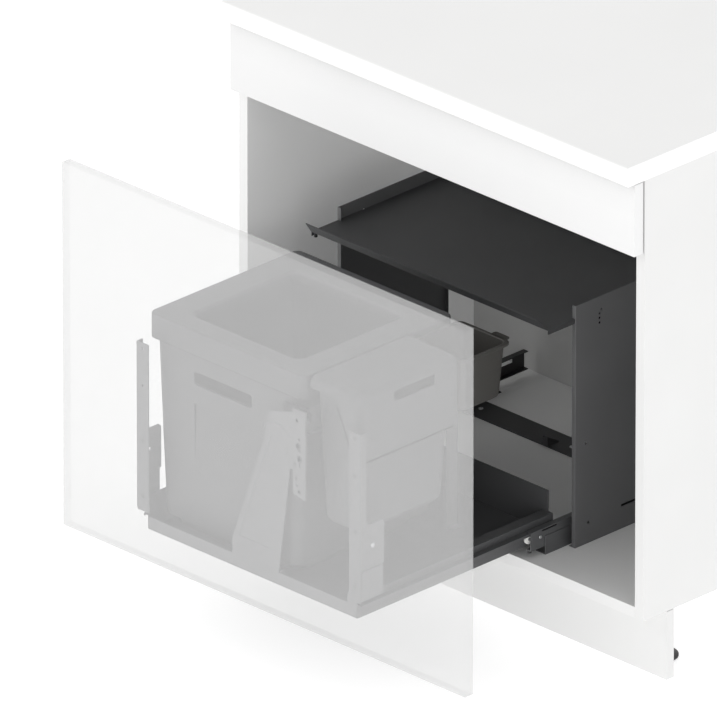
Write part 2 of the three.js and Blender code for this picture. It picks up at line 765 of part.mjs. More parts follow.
function makeTray() {
  add(drawer, 'tray', tray(), traySteel);
  add(drawer, 'tray_back_wall', block(trayLeft + trayBackInset, trayRight - trayBackInset, trayRearY,
    trayRearY + traySheet, trayBottom, trayBottom + trayBackHeight), traySteel);
}

// ---------------------------------------------------------------- door, brackets and centre arm
function doorBracket() {
  const t = bracketSheet;
  const outer = trayRight + bracketOutset;
  const y0 = closedDoorBackY;
  const footZ = trayBottom + traySideHeight;
  const plateTopZ = footZ + bracketPlateHeight;
  const flange = block(outer - doorFlangeWidth, outer, y0, y0 + t,
    base + doorFlangeBottom, base + doorFlangeTop);
  const plate = block(outer - t, outer, y0, y0 + bracketPlateDepth, footZ, plateTopZ);
  const side = block(outer - t, outer, y0, y0 + bracketReturn, footZ, base + doorFlangeTop);
  const rearY = y0 + bracketPlateDepth - 2;
  const layer = block(outer - t, outer + bracketPlateStep, y0 + 2, rearY, footZ,
    footZ + bracketPlateHeight * 0.55);
  const foot = block(trayRight - trayLedge + 2, outer, trayFrontY, rearY, footZ, footZ + t);
  const [holeY, holeZ] = [y0 + plateHole[0], footZ + plateHole[1]];
  const holes = [roundX(holeY, holeZ, plateHoleRadius, outer - cutOver, outer + cutOver, 6)];
  doorHolePitch.reduce((z, pitch, i, pitches) => {
    const hole = (height) => roundY(outer - doorFlangeWidth / 2 + 2, height, doorHoleRadius, y0 - cutOver,
      y0 + t + 1, 6);
    holes.push(hole(z));
    if (i === pitches.length - 1) holes.push(hole(z + pitch));
    return z + pitch;
  }, base + doorHoleFirst);
  return cut(join(flange, plate, side, layer, foot), ...holes);
}

const armFrontY = closedDoorBackY + bracketSheet;
const armBackY = armFrontY + armSheet;

// Tapered arm, its outline in XZ, bent back over the rim and down on to the tray floor.
function centreArm() {
  const rimInner = trayFrontY + traySheet;
  const bendZ = trayBottom + trayRimHeight + 3;
  const top = base + plateTop;
  const plateRight = plateLeft + plateWidth;
  const fromTop = ([left, down]) => [top - down, plateLeft - left];
  const [footLeft, footRight] = armFoot.map((left) => plateLeft - left);
  const shape = new THREE.Shape();
  shape.moveTo(trayFloor, footLeft);
  shape.lineTo(base + armShoulder, footLeft);
  shape.lineTo(...fromTop(armHead));
  shape.bezierCurveTo(...armCurve.map(fromTop).flat());
  shape.lineTo(top, plateRight);
  shape.lineTo(base + plateBottom + armStep[1] + 1, plateRight);
  shape.lineTo(base + plateBottom + armStep[1], plateLeft - armStep[0]);
  shape.lineTo(trayFloor, footRight);
  const outline = prism(shape, 'y', armFrontY - cutOver, trayFrontY + 40, 8);
  const bend = alongX([
    [armFrontY, bendZ], [armFrontY, top + cutOver], [armBackY, top + cutOver], [armBackY, bendZ + armSheet],
    [rimInner + armSheet, bendZ + armSheet], [rimInner + armSheet, trayFloor], [rimInner, trayFloor],
    [rimInner, bendZ],
  ], footLeft - cutOver, plateRight + cutOver);
  const arm = toManifold(outline).intersect(toManifold(bend));
  const beadFootZ = base + armShoulder + 8;
  const bead = new THREE.Shape();
  bead.moveTo(beadFootZ, footLeft + beadInset);
  bead.lineTo(...fromTop(beadHead[0]));
  bead.bezierCurveTo(...beadHead.slice(1).map(fromTop).flat());
  bead.lineTo(beadFootZ, footRight - beadInset + 2);
  const relief = prism(bead, 'y', armFrontY - cutOver, armFrontY + beadDepth, 6);
  return fromManifold(arm.subtract(toManifold(relief)));
}

function fixingPlate() {
  const y0 = closedDoorBackY;
  const plate = prism(outlineShape([
    [base + plateBottom + 5, plateLeft], [base + plateBottom, plateLeft + plateWidth],
    [base + plateTop, plateLeft + plateWidth], [base + plateTop, plateLeft],
  ]), 'y', y0, y0 + bracketSheet);
  const middle = plateLeft + plateWidth * 0.55;
  const drill = (x, z, radius) => roundY(x, base + z, radius, y0 - cutOver, y0 + bracketSheet + cutOver, 6);
  const slot = block(middle - 1.6, middle + 1.6, y0 - cutOver, y0 + bracketSheet + cutOver,
    base + plateTop - 98, base + plateTop - 78);
  return cut(plate, drill(middle - 6, plateTop - 17, 2), drill(middle, plateTop - 51, 3.2),
    drill(middle, plateTop - 69, 3.2), slot,
    drill(middle, plateBottom + 12, 2), drill(middle - 6, plateBottom + 22, 1.6));
}

function makeDoor() {
  add(drawer, 'door', block(-frontHalf, frontHalf, closedDoorBackY - frontThickness, closedDoorBackY,
    base + doorDrop, blindBottom - doorToBlindGap), whiteFront);
  add(drawer, 'door_bracket_right', doorBracket(), bracketSteel);
  add(drawer, 'door_bracket_left', mirrored(doorBracket()), bracketSteel);
  add(drawer, 'centre_arm', centreArm(), bracketSteel);
  add(drawer, 'fixing_plate', fixingPlate(), bracketSteel);
}

// ---------------------------------------------------------------- big bin and bag frame
const binFrontY = binGapToFrame;
const bagFrameRearY = binFrontY + bagFrameDepth;
const skirtBottom = base + bagFrameTop - bagFrameSkirt;

function bagFrame() {
  const [x0, x1, y0, y1] = [bagFrameLeft, bagFrameRight, binFrontY, bagFrameRearY];
  const top = base + bagFrameTop;
  const w = bagFrameWall;
  const open = [x0 + bagRimLeft, x1 - bagRimRight, y0 + bagRimFront, y1 - bagRimRear];
  const grow = (d) => [open[0] - d, open[1] + d, open[2] - d, open[3] + d];
  return loft([
    ring(x0, x1, y0, y1, bagFrameCorner, skirtBottom),
    ring(x0, x1, y0, y1, bagFrameCorner, top - w),
    ring(x0 + w, x1 - w, y0 + w, y1 - w, bagFrameCorner - w, top),
    ring(...grow(8), bagOpeningCorner + 8, top),
    ring(...grow(2), bagOpeningCorner + 2, top - 3),
    ring(...grow(0), bagOpeningCorner, top - 8),
    ring(...grow(0), bagOpeningCorner, top - bagCollar),
    ring(...grow(w), bagOpeningCorner + w, top - bagCollar),
    ring(...grow(w), bagOpeningCorner + w, top - 8),
    ring(...grow(8), bagOpeningCorner + 8, top - w),
    ring(x0 + w, x1 - w, y0 + w, y1 - w, bagFrameCorner - w, top - w),
    ring(x0 + w, x1 - w, y0 + w, y1 - w, bagFrameCorner - w, skirtBottom),
  ], true);
}

function bigBin() {
  const rimTop = base + bagFrameTop - bagFrameWall - clearance;
  const shoulder = skirtBottom - clearance;
  const gap = bagFrameWall + clearance;
  const left = bagFrameLeft + bigInset;
  const right = bagFrameRight - bigInset;
  const rear = bagFrameRearY - bigInset / 2;
  const outer = (drop, inset, z, radius, extraFront = 0) => ring(left + drop + inset, right - drop - inset,
    binFrontY + drop * 0.4 + inset * 0.6 + extraFront, rear - drop - inset, radius, z);
  const step = trayFloor + bigBaseHeight;
  const w = bigWall;
  const rimOut = (inset, z) => ring(bagFrameLeft + gap + 2 + inset, bagFrameRight - gap - 2 - inset,
    binFrontY + gap + 0.6 + inset, bagFrameRearY - gap - 2 - inset, bagFrameCorner, z);
  const body = loft([
    outer(bigTaper, bigBaseInset + 6, trayFloor, bigBaseCorner - 6),
    outer(bigTaper, bigBaseInset + 1.5, trayFloor + 2, bigBaseCorner - 2),
    outer(bigTaper, bigBaseInset, trayFloor + 6, bigBaseCorner),
    outer(bigTaper, bigBaseInset - 1, step, bigBaseCorner),
    outer(bigTaper, 2, step + 10, bigCorner + 4),
    outer(bigTaper, 0, step + 14, bigCorner + 2),
    outer(0, 0, shoulder, bigCorner),
    outer(0, 0, shoulder, bigCorner, gap + 0.6),
    outer(0, 0, rimTop - 8, bigCorner, gap + 0.6),
    rimOut(0, rimTop - 6),
    rimOut(0, rimTop),
    outer(0, w, rimTop, bigCorner - w, gap + 0.6),
    outer(0, w, shoulder - 2, bigCorner - w, gap + 0.6),
    outer(bigTaper, w, step + 14 + w, bigCorner + 2 - w, gap),
    outer(bigTaper, 2 + w, step + 10 + w, bigCorner + 4 - w, gap),
    outer(bigTaper, bigBaseInset - 1 + w, step + w, bigBaseCorner - w, gap - 1.5),
    outer(bigTaper, bigBaseInset + w, trayFloor + 6, bigBaseCorner - w, gap - 1.5),
    outer(bigTaper, bigBaseInset + 6, trayFloor + w, bigBaseCorner - w - 3, gap),
  ]);
  const slotLeft = (bagFrameLeft + bagFrameRight - slotWidth) / 2 - slotOffset;
  const slotRight = slotLeft + slotWidth;
  const slotShape = new THREE.Shape();
  const r = 6;
  const [z0, z1] = [base + slotBottom, base + slotBottom + slotHeight];
  slotShape.moveTo(z0, slotLeft + r);
  slotShape.absarc(z0 + r, slotLeft + r, r, Math.PI, 1.5 * Math.PI, false);
  slotShape.absarc(z1 - r, slotLeft + r, r, -Math.PI / 2, 0, false);
  slotShape.absarc(z1 - r, slotRight - r, r, 0, Math.PI / 2, false);
  slotShape.absarc(z0 + r, slotRight - r, r, Math.PI / 2, Math.PI, false);
  const slot = prism(slotShape, 'y', binFrontY - cutOver, binFrontY + 20, 3);
  const pocketBottom = base + recessBottom;
  const pocketTop = pocketBottom + recessHeight;
  const faceY = binFrontY + bigTaper * 0.2;
  const pad = block(slotLeft - 5, slotRight + 5, faceY + 2.5, faceY + recessDepth + 5,
    pocketBottom - 5, pocketTop + 5);
  const pocket = block(slotLeft, slotRight, binFrontY - cutOver, faceY + recessDepth,
    pocketBottom, pocketTop);
  return cut(join(body, pad), slot, pocket);
}

// ---------------------------------------------------------------- small bins
const smallRight = smallLeft + smallWidth;
const frontBinRearY = binFrontY + frontBinDepth;
const hookLeft = carrierX - clearance - carrierSheet;
const clipLeft = carrierX - clipReach[0];
const clipRight = carrierX + clipReach[1];

// Strap over the carrier rail, from the bin's left wall.
function hook(wallX, middleY) {
  const low = base + carrierTop + clearance;
  const high = low + 2;
  const y0 = middleY - hookWidth / 2;
  return alongY([
    [wallX, high],
    [hookLeft, high],
    [hookLeft, high - hookDrop],
    [hookLeft + carrierSheet, high - hookDrop],
    [hookLeft + carrierSheet, low], [wallX, low],
  ], y0, y0 + hookWidth);
}

function frontBinBody() {
  const i = smallInset;
  const wall = (drop, inset, z, radius) => ring(smallLeft + i + drop + inset, smallRight - i - drop - inset,
    binFrontY + i + drop + inset, frontBinRearY - i - drop - inset, radius, z);
  const bottom = base + frontBinBottom;
  const top = base + frontBinTop;
  const w = smallWall;
  return loft([
    wall(smallTaper, 18, bottom, smallCorner - 8),
    wall(smallTaper, 8, bottom + 3.5, smallCorner),
    wall(smallTaper, 2.5, bottom + 10, smallCorner),
    wall(smallTaper, 0, bottom + 22, smallCorner),
    wall(0, 0, top, smallCorner - 4),
    wall(0, w, top, smallCorner - 4 - w),
    wall(smallTaper, w, bottom + 22, smallCorner - w),
    wall(smallTaper, 2.5 + w, bottom + 10 + w * 0.6, smallCorner - w),
    wall(smallTaper, 18, bottom + 3.5 + w, smallCorner - 8),
  ]);
}

function frontBin() {
  const share = (frontBinTop - carrierTop) / (frontBinTop - frontBinBottom);
  const x = smallLeft + smallInset + smallTaper * share;
  return join(frontBinBody(), hook(x + smallWall * 0.6, binFrontY + frontBinDepth / 2));
}

// Deep cap over the front small bin: long skirt right and rear, short skirt left, curved in front.
function hood() {
  const top = base + hoodTop;
  const bottom = top - hoodHeight;
  const w = hoodWall;
  const cap = (inset, z) => ring(smallLeft + inset, smallRight - inset, binFrontY + inset,
    frontBinRearY - inset, hoodCorner - inset, z);
  const crownArc = (radius) => [0, 1, 2, 3].map((step) => {
    const angle = (step / 3) * (Math.PI / 2);
    return cap(hoodCrown - radius * Math.cos(angle), top - hoodCrown + radius * Math.sin(angle));
  });
  const shell = loft([
    cap(w, bottom), cap(0, bottom), ...crownArc(hoodCrown), ...crownArc(hoodCrown - w).reverse(),
  ], true);
  const crown = loft([cap(hoodCrown - 1, top - w), cap(hoodCrown - 1, top)]);
  const seat = base + frontBinTop;
  const bead = loft([
    cap(w + hoodBeadWidth, seat), cap(w / 2, seat), cap(w / 2, seat + hoodBeadHeight),
    cap(w + hoodBeadWidth, seat + hoodBeadHeight),
  ], true);
  const skirtLow = top - hoodShortSkirt;
  const frontCut = new THREE.Shape();
  frontCut.moveTo(bottom - cutOver, smallLeft - cutOver);
  frontCut.lineTo(bottom - cutOver, smallRight - 10);
  frontCut.lineTo(bottom, smallRight - 10);
  frontCut.bezierCurveTo(bottom + 34, smallRight - 26, bottom + 58, smallRight - 36,
    skirtLow - 8, smallRight - 50);
  frontCut.quadraticCurveTo(skirtLow, smallRight - 56, skirtLow, smallRight - 74);
  frontCut.lineTo(skirtLow, smallLeft - cutOver);
  const openFront = prism(frontCut, 'y', binFrontY - cutOver, binFrontY + hoodCorner + 1, 8);
  const openLeft = block(smallLeft - cutOver, smallLeft + hoodCorner + 1, binFrontY + hoodCorner,
    frontBinRearY + cutOver, bottom - cutOver, skirtLow);
  const gripTop = top - gripDrop;
  const grip = block(smallRight - w - hoodBeadWidth - 1, smallRight + cutOver, binFrontY + gripSetback,
    binFrontY + gripSetback + gripLength, gripTop - gripHeight, gripTop);
  return cut(join(shell, crown, bead), openFront, openLeft, grip);
}

function rearBin() {
  const y0 = frontBinRearY + binToBinGap;
  const y1 = y0 + rearBinDepth;
  const wall = (inset, z, radius) => ring(smallLeft + inset, smallRight - inset,
    y0 + inset, y1 - inset, radius, z);
  const top = base + rearBinTop;
  const bottom = base + rearBinBottom;
  const w = smallWall;
  const r = rearBinRim;
  const body = loft([
    wall(r + rearBinTaper + 7, bottom, rearBinCorner - 2),
    wall(r + rearBinTaper + 2, bottom + 2, rearBinCorner),
    wall(r + rearBinTaper, bottom + 8, rearBinCorner),
    wall(r, top - 6, rearBinCorner),
    wall(0, top - 4, rearBinCorner),
    wall(0, top, rearBinCorner),
    wall(r + w, top, rearBinCorner - w),
    wall(r + rearBinTaper + w, bottom + 8 + w, rearBinCorner - w),
    wall(r + rearBinTaper + 7, bottom + 2 + w, rearBinCorner - w - 2),
  ]);
  const lip = block(smallRight - 46, smallRight - 14, y1 - 3, y1 + rearLip, top - 2.5, top);
  const share = (rearBinTop - 6 - carrierTop) / (rearBinTop - 14 - rearBinBottom);
  const strap = hook(smallLeft + r + rearBinTaper * share + w * 0.6, (y0 + y1) / 2);
  return join(body, lip, strap);
}

function makeBins() {
  add(drawer, 'big_bin', bigBin(), binPlastic);
  add(drawer, 'bag_frame', bagFrame(), binPlastic);
  add(drawer, 'front_small_bin', frontBin(), binPlastic);
  add(drawer, 'front_bin_hood', hood(), binPlastic);
  add(drawer, 'rear_small_bin', rearBin(), taupePlastic);
}

// ---------------------------------------------------------------- carrier of the small bins
function carrier() {
  const x1 = carrierX + carrierSheet;
  const top = base + carrierTop;
  const bottom = top - carrierHeight;
  const rearY = frontBinRearY + binToBinGap + rearBinDepth - 4;
  const frontY = armBackY;
  const web = block(carrierX, x1, frontY, rearY, bottom, top);
  const head = block(carrierX, plateLeft + plateWidth - 6, frontY, frontY + carrierSheet, bottom, top - 8);
  const share = (frontBinTop - carrierTop + carrierHeight) / (frontBinTop - frontBinBottom);
  const rest = smallLeft + smallInset + smallTaper * share - clearance;
  const ledge = block(carrierX, rest, binFrontY, frontBinRearY - smallInset, bottom, bottom + carrierSheet);
  const leg = block(carrierX, x1, rearY - carrierLegDepth, rearY, trayFloor, bottom + 10);
  const foot = block(carrierX, carrierX + carrierFoot, rearY - carrierLegDepth, rearY, trayFloor,
    trayFloor + carrierSheet);
  return join(web, head, ledge, leg, foot);
}

function carrierClip() {
  const y0 = armBackY;
  const outline = [
    [base + carrierClipBottom, clipLeft],
    [base + carrierClipTop - 4, clipLeft],
    [base + carrierClipTop, clipLeft + 4],
    [base + carrierClipTop, clipRight - 4],
    [base + carrierClipTop - 4, clipRight],
    [base + carrierClipBottom, clipRight],
  ];
  const bar = prism(outlineShape(outline), 'y', y0, y0 + carrierClipDepth);
  const notch = block(carrierX - clearance, carrierX + carrierSheet + clearance, y0 - cutOver,
    y0 + carrierClipDepth + cutOver, base + carrierClipBottom - cutOver, base + carrierTop + clearance);
  return cut(bar, notch);
}

makeCarcass();
makeWorktop();
makePlinth();
makeBlindFront();
makeFrame();
makeRunners();
makeTray();
makeDoor();
makeBins();
add(drawer, 'bin_carrier', carrier(), bracketSteel);
add(drawer, 'carrier_clip', carrierClip(), blackPlastic);

drawer.position.y = -drawerTravel;
part.add(cabinet, drawer);
part.position.y = -footprintMiddleY;
part.updateMatrixWorld(true);

export default part;
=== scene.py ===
import json
import math

import bpy
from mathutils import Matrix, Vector


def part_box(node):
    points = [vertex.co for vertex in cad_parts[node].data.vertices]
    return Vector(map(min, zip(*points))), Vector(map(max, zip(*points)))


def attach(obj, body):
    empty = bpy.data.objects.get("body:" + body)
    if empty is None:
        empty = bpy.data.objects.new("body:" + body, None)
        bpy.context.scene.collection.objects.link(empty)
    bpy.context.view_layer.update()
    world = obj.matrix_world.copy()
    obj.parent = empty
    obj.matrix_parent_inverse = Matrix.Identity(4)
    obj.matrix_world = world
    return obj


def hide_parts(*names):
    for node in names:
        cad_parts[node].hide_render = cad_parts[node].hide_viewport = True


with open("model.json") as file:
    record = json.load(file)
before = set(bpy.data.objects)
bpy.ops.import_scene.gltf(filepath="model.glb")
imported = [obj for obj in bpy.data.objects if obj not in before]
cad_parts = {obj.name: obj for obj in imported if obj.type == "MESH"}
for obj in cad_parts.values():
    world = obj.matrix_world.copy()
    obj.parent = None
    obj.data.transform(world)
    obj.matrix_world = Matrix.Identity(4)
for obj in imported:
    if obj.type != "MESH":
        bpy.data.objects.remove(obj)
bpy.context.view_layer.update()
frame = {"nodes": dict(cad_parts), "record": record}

MM = 0.001
scene = bpy.context.scene


def span(node):
    """(x0, x1, y0, y1, z0, z1) of a CAD node in millimetres."""
    low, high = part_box(node)
    return [value / MM for axis in range(3) for value in (low[axis], high[axis])]


# ---------------------------------------------------------------- camera, floor and light
PHOTO_SIZE = 717
PHOTO_CORNER = (643.3, 621.7)  # pixel of the carcass's lower right front corner in the photograph
PHOTO_PX_PER_MM = 0.6369
PHOTO_AZIMUTH = 45
PHOTO_ELEVATION = 25
CAMERA_DISTANCE = 45.0  # far away with a long lens, since the photograph shows no perspective
CAMERA_CLIP = (1.0, 120.0)
SENSOR = 36.0

WORLD_STRENGTH = 0.74
LIGHT_AIM = (0, 0, 0.5)
LIGHTS = {  # place, diameter, watts, colour
    "key": ((-1.6, -4.2, 3.6), 2.4, 33, (1.0, 0.995, 0.985)),
    "side": ((4.2, -1.2, 2.6), 2.4, 9, (0.985, 0.99, 1.0)),
    "front": ((3.0, -4.1, 1.1), 2.2, 29, (1.0, 1.0, 1.0)),
    "back": ((0.5, 4.0, 3.0), 3.0, 18, (1.0, 1.0, 1.0)),
}
FLOOR_HALF = 30.0
FLOOR_GAP = 0.0004  # the floor lies this far below the feet
FLOOR_GLOW = 0.66  # keeps the ground as pale as the photograph's


def turn_to(obj, direction):
    """Turns a camera or a light so that it looks along the direction."""
    obj.rotation_mode = "QUATERNION"
    obj.rotation_quaternion = direction.to_track_quat("-Z", "Y")


def make_camera():
    azimuth, elevation = math.radians(PHOTO_AZIMUTH), math.radians(PHOTO_ELEVATION)
    towards = Vector((math.sin(azimuth) * math.cos(elevation), -math.cos(azimuth) * math.cos(elevation),
                      math.sin(elevation)))
    right = Vector((math.cos(azimuth), math.sin(azimuth), 0))
    up = towards.cross(right)
    _, x1, y0, _, z0, _ = span("side_panel_right")
    corner = Vector((x1, y0, z0)) * MM
    across = (PHOTO_SIZE / 2 - PHOTO_CORNER[0]) / PHOTO_PX_PER_MM * MM
    above = (PHOTO_CORNER[1] - PHOTO_SIZE / 2) / PHOTO_PX_PER_MM * MM
    centre = corner + right * across + up * above
    frame_width = PHOTO_SIZE / PHOTO_PX_PER_MM * MM
    data = bpy.data.cameras.new("camera")
    data.sensor_width = SENSOR
    data.lens = SENSOR * CAMERA_DISTANCE / frame_width
    data.clip_start, data.clip_end = CAMERA_CLIP
    camera = bpy.data.objects.new("camera", data)
    scene.collection.objects.link(camera)
    camera.location = centre + towards * CAMERA_DISTANCE
    turn_to(camera, -towards)
    scene.camera = camera


def area_light(name, place, size, watts, colour):
    data = bpy.data.lights.new(name, "AREA")
    data.shape = "DISK"
    data.size = size
    data.energy = watts
    data.color = colour
    light = bpy.data.objects.new(name, data)
    scene.collection.objects.link(light)
    light.location = place
    turn_to(light, Vector(LIGHT_AIM) - Vector(place))


def make_studio():
    world = bpy.data.worlds.new("studio")
    world.use_nodes = True
    background = world.node_tree.nodes["Background"]
    background.inputs["Color"].default_value = (1, 1, 1, 1)
    background.inputs["Strength"].default_value = WORLD_STRENGTH
    scene.world = world
    for name, (place, size, watts, colour) in LIGHTS.items():
        area_light(name, place, size, watts, colour)
    floor_mesh = bpy.data.meshes.new("floor")
    h, z = FLOOR_HALF, -FLOOR_GAP
    floor_mesh.from_pydata([(-h, -h, z), (h, -h, z), (h, h, z), (-h, h, z)], [], [(0, 1, 2, 3)])
    floor = bpy.data.objects.new("floor", floor_mesh)
    scene.collection.objects.link(floor)
    floor.data.materials.append(surface("studio_floor", (0.6, 0.6, 0.6), 0.9, grain=40, bump=0.02, drift=0.0,
                                        spread=0.02, specular=0.1, cloud=0.5, glow=FLOOR_GLOW))
    scene.view_settings.view_transform = "Standard"
    scene.view_settings.look = "None"
    scene.view_settings.exposure = 0
    scene.view_settings.gamma = 1


# ---------------------------------------------------------------- materials
NEARBY_SAMPLES = 12


def nodes_of(name):
    material = bpy.data.materials.new(name)
    material.use_nodes = True
    tree = material.node_tree
    return material, tree, tree.nodes["Principled BSDF"]


def noise(tree, scale, detail=2.0, roughness=0.5, stretch=None):
    """Noise over object space, in features of about 1/scale metres."""
    place = tree.nodes.new("ShaderNodeTexCoord").outputs["Object"]
    texture = tree.nodes.new("ShaderNodeTexNoise")
    texture.inputs["Scale"].default_value = scale
    texture.inputs["Detail"].default_value = detail
    texture.inputs["Roughness"].default_value = roughness
    if stretch:
        mapping = tree.nodes.new("ShaderNodeMapping")
        mapping.inputs["Scale"].default_value = stretch
        tree.links.new(place, mapping.inputs["Vector"])
        place = mapping.outputs["Vector"]
    tree.links.new(place, texture.inputs["Vector"])
    return texture.outputs["Fac"]


def ranged(tree, value, low, high, from_low=0.3, from_high=0.7):
    node = tree.nodes.new("ShaderNodeMapRange")
    node.inputs["From Min"].default_value = from_low
    node.inputs["From Max"].default_value = from_high
    node.inputs["To Min"].default_value = low
    node.inputs["To Max"].default_value = high
    tree.links.new(value, node.inputs["Value"])
    return node.outputs["Result"]


def drifting(tree, colour, scale, detail, drift):
    """The colour, drifting slowly between a little darker and a little lighter."""
    node = tree.nodes.new("ShaderNodeMix")
    node.data_type = "RGBA"
    for side, factor in (("A", 1 - drift), ("B", 1 + drift)):
        node.inputs[side].default_value = (*[min(1.0, channel * factor) for channel in colour], 1)
    tree.links.new(ranged(tree, noise(tree, scale, detail), 0, 1), node.inputs["Factor"])
    return node.outputs["Result"]


def painted_shade_near(tree, colour, reach, depth):
    """The colour with painted shade: darker where another surface lies within the reach in metres."""
    nearby = tree.nodes.new("ShaderNodeAmbientOcclusion")
    nearby.samples = NEARBY_SAMPLES
    nearby.inputs["Distance"].default_value = reach
    amount = ranged(tree, nearby.outputs["AO"], 1 - depth, 1, 0, 1)
    multiply = tree.nodes.new("ShaderNodeVectorMath")
    multiply.operation = "SCALE"
    tree.links.new(colour, multiply.inputs[0])
    tree.links.new(amount, multiply.inputs["Scale"])
    return multiply.outputs["Vector"]


def surface(name, colour, rough, metallic=0.0, grain=900.0, bump=0.15, depth=0.0002, drift=0.06, spread=0.06,
            stretch=None, coat=0.0, specular=0.5, cloud=6.0, shaded=None, glow=0.0):
    """A moulded, coated or rolled surface: fine grain in the bump, slow drift in colour and gloss.

    grain and cloud are the scales of the fine and the slow noise, spread is how far the roughness
    goes to either side, shaded is the reach and depth of the painted shade near other surfaces.
    """
    material, tree, shader = nodes_of(name)
    fine = noise(tree, grain, 3.0, 0.55, stretch)
    base = drifting(tree, colour, cloud, 3.0, drift)
    # painted shade: the colour darkens where other surfaces are near
    if shaded:
        base = painted_shade_near(tree, base, *shaded)
    tree.links.new(base, shader.inputs["Base Color"])
    if glow:
        shader.inputs["Emission Color"].default_value = (1, 1, 1, 1)
        shader.inputs["Emission Strength"].default_value = glow
    tree.links.new(ranged(tree, fine, rough - spread, rough + spread), shader.inputs["Roughness"])
    relief = tree.nodes.new("ShaderNodeBump")
    relief.inputs["Strength"].default_value = bump
    relief.inputs["Distance"].default_value = depth
    tree.links.new(fine, relief.inputs["Height"])
    tree.links.new(relief.outputs["Normal"], shader.inputs["Normal"])
    shader.inputs["Metallic"].default_value = metallic
    shader.inputs["Specular IOR Level"].default_value = specular
    shader.inputs["Coat Weight"].default_value = coat
    material.diffuse_color = (*colour, 1)
    return material


def board(name, white):
    """A coated board, in a white that is a little warm."""
    return surface(name, (white, white, white - 0.005), 0.55, grain=500, bump=0.05, depth=0.0001, drift=0.012)


def sheet(name, colour, rough, metallic, **more):
    """Powder-coated sheet steel."""
    return surface(name, colour, rough, metallic, **{"grain": 1100, "bump": 0.25, "drift": 0.08, **more})


MATERIALS = {
    "white_board": board("white_board", 0.91),
    # white_front: painted shade near other surfaces, as under the worktop's edge
    "white_front": surface("white_front", (0.87, 0.87, 0.87), 0.38, grain=350, bump=0.03, depth=0.0001,
                           drift=0.008, coat=0.1, shaded=(0.06, 0.6)),
    # The worktop's glow is painted light that keeps its white bright.
    "worktop_white": surface("worktop_white", (0.93, 0.93, 0.925), 0.45, grain=800, bump=0.08, depth=0.0001,
                             drift=0.01, glow=0.07),
    "plinth_white": surface("plinth_white", (0.83, 0.83, 0.825), 0.5, grain=500, bump=0.04, depth=0.0001,
                            drift=0.01),
    "anthracite_steel": sheet("anthracite_steel", (0.055, 0.056, 0.058), 0.5, 0.15, bump=0.3),
    "tray_steel": sheet("tray_steel", (0.09, 0.091, 0.094), 0.45, 0.15),
    "bracket_steel": sheet("bracket_steel", (0.17, 0.172, 0.176), 0.42, 0.15, bump=0.22, depth=0.00015,
                           drift=0.06),
    "runner_steel": surface("runner_steel", (0.13, 0.132, 0.136), 0.38, 0.4, bump=0.15, depth=0.00015,
                            drift=0.08, stretch=(1, 0.08, 1)),
    "zinc_steel": surface("zinc_steel", (0.55, 0.56, 0.57), 0.3, 0.9, grain=260, bump=0.1, depth=0.0001,
                          drift=0.1, cloud=60),
    "white_nylon": surface("white_nylon", (0.80, 0.80, 0.78), 0.38, grain=1400, bump=0.1, drift=0.02),
    "black_plastic": surface("black_plastic", (0.012, 0.012, 0.013), 0.45, grain=1500, bump=0.25, drift=0.1),
    # bin_plastic: painted shade near other surfaces, in the gaps between the bins and under the hood
    "bin_plastic": surface("bin_plastic", (0.105, 0.107, 0.11), 0.5, grain=1600, bump=0.12, depth=0.0001,
                           drift=0.05, shaded=(0.016, 0.85)),
    "taupe_plastic": surface("taupe_plastic", (0.055, 0.053, 0.049), 0.5, grain=1600, bump=0.3,
                             depth=0.00025, drift=0.05),
}
# Near-black material: painted shade behind openings and under edges.
PAINTED_SHADE_MATERIAL = surface("dark_hole", (0.004, 0.004, 0.004), 0.8, grain=1500, bump=0.1, drift=0.1, specular=0.1)

# Painted light: a glow on the inner face of the left side panel.
INNER_PAINTED_LIGHT = 0.08
INNER_PAINTED_LIGHT_DEPTH = 0.001  # the painted light begins this far inside the board's inner face


def painted_inner_light(material, inner_x):
    """A board whose inner face glows: painted light in place of the light that other white boards throw into
    the carcass.
    """
    tree = material.node_tree
    shader = tree.nodes["Principled BSDF"]
    place = tree.nodes.new("ShaderNodeTexCoord")
    parts = tree.nodes.new("ShaderNodeSeparateXYZ")
    tree.links.new(place.outputs["Object"], parts.inputs["Vector"])
    inner = ranged(tree, parts.outputs["X"], 0, INNER_PAINTED_LIGHT, inner_x - INNER_PAINTED_LIGHT_DEPTH, inner_x)
    shader.inputs["Emission Color"].default_value = (1, 1, 1, 1)
    tree.links.new(inner, shader.inputs["Emission Strength"])
    return material


# Lighter and darker copies of one material: painted light and painted shade.
dark_steel = sheet("dark_steel", (0.03, 0.03, 0.031), 0.45, 0.2)
side_plate_steel = sheet("side_plate_steel", (0.135, 0.136, 0.139), 0.5, 0.1, bump=0.3, drift=0.06)
LIT_AND_SHADED_FINISH = {  # CAD nodes in lighter or darker copies of their slot's material: painted light on the frame's side plates and the left board, painted shade on the left runner parts and the right, bottom and back boards
    "cabinet_rail_left": dark_steel,
    "floor_bracket_left": dark_steel,
    "frame_side_left": side_plate_steel,
    "frame_side_right": side_plate_steel,
    "side_panel_left": painted_inner_light(board("left_board", 0.91), span("side_panel_left")[1] * MM),
    "side_panel_right": board("right_board", 0.84),
    "bottom_panel": board("bottom_board", 0.86),
    "back_panel": board("back_board", 0.6),
}

DOOR_ALPHA = 0.18  # of each of the four faces that a look through the door crosses
DOOR_FILM = (0.68, 0.68, 0.68)
DOOR_IN_VIEWPORT = (0.85, 0.85, 0.85, DOOR_ALPHA)


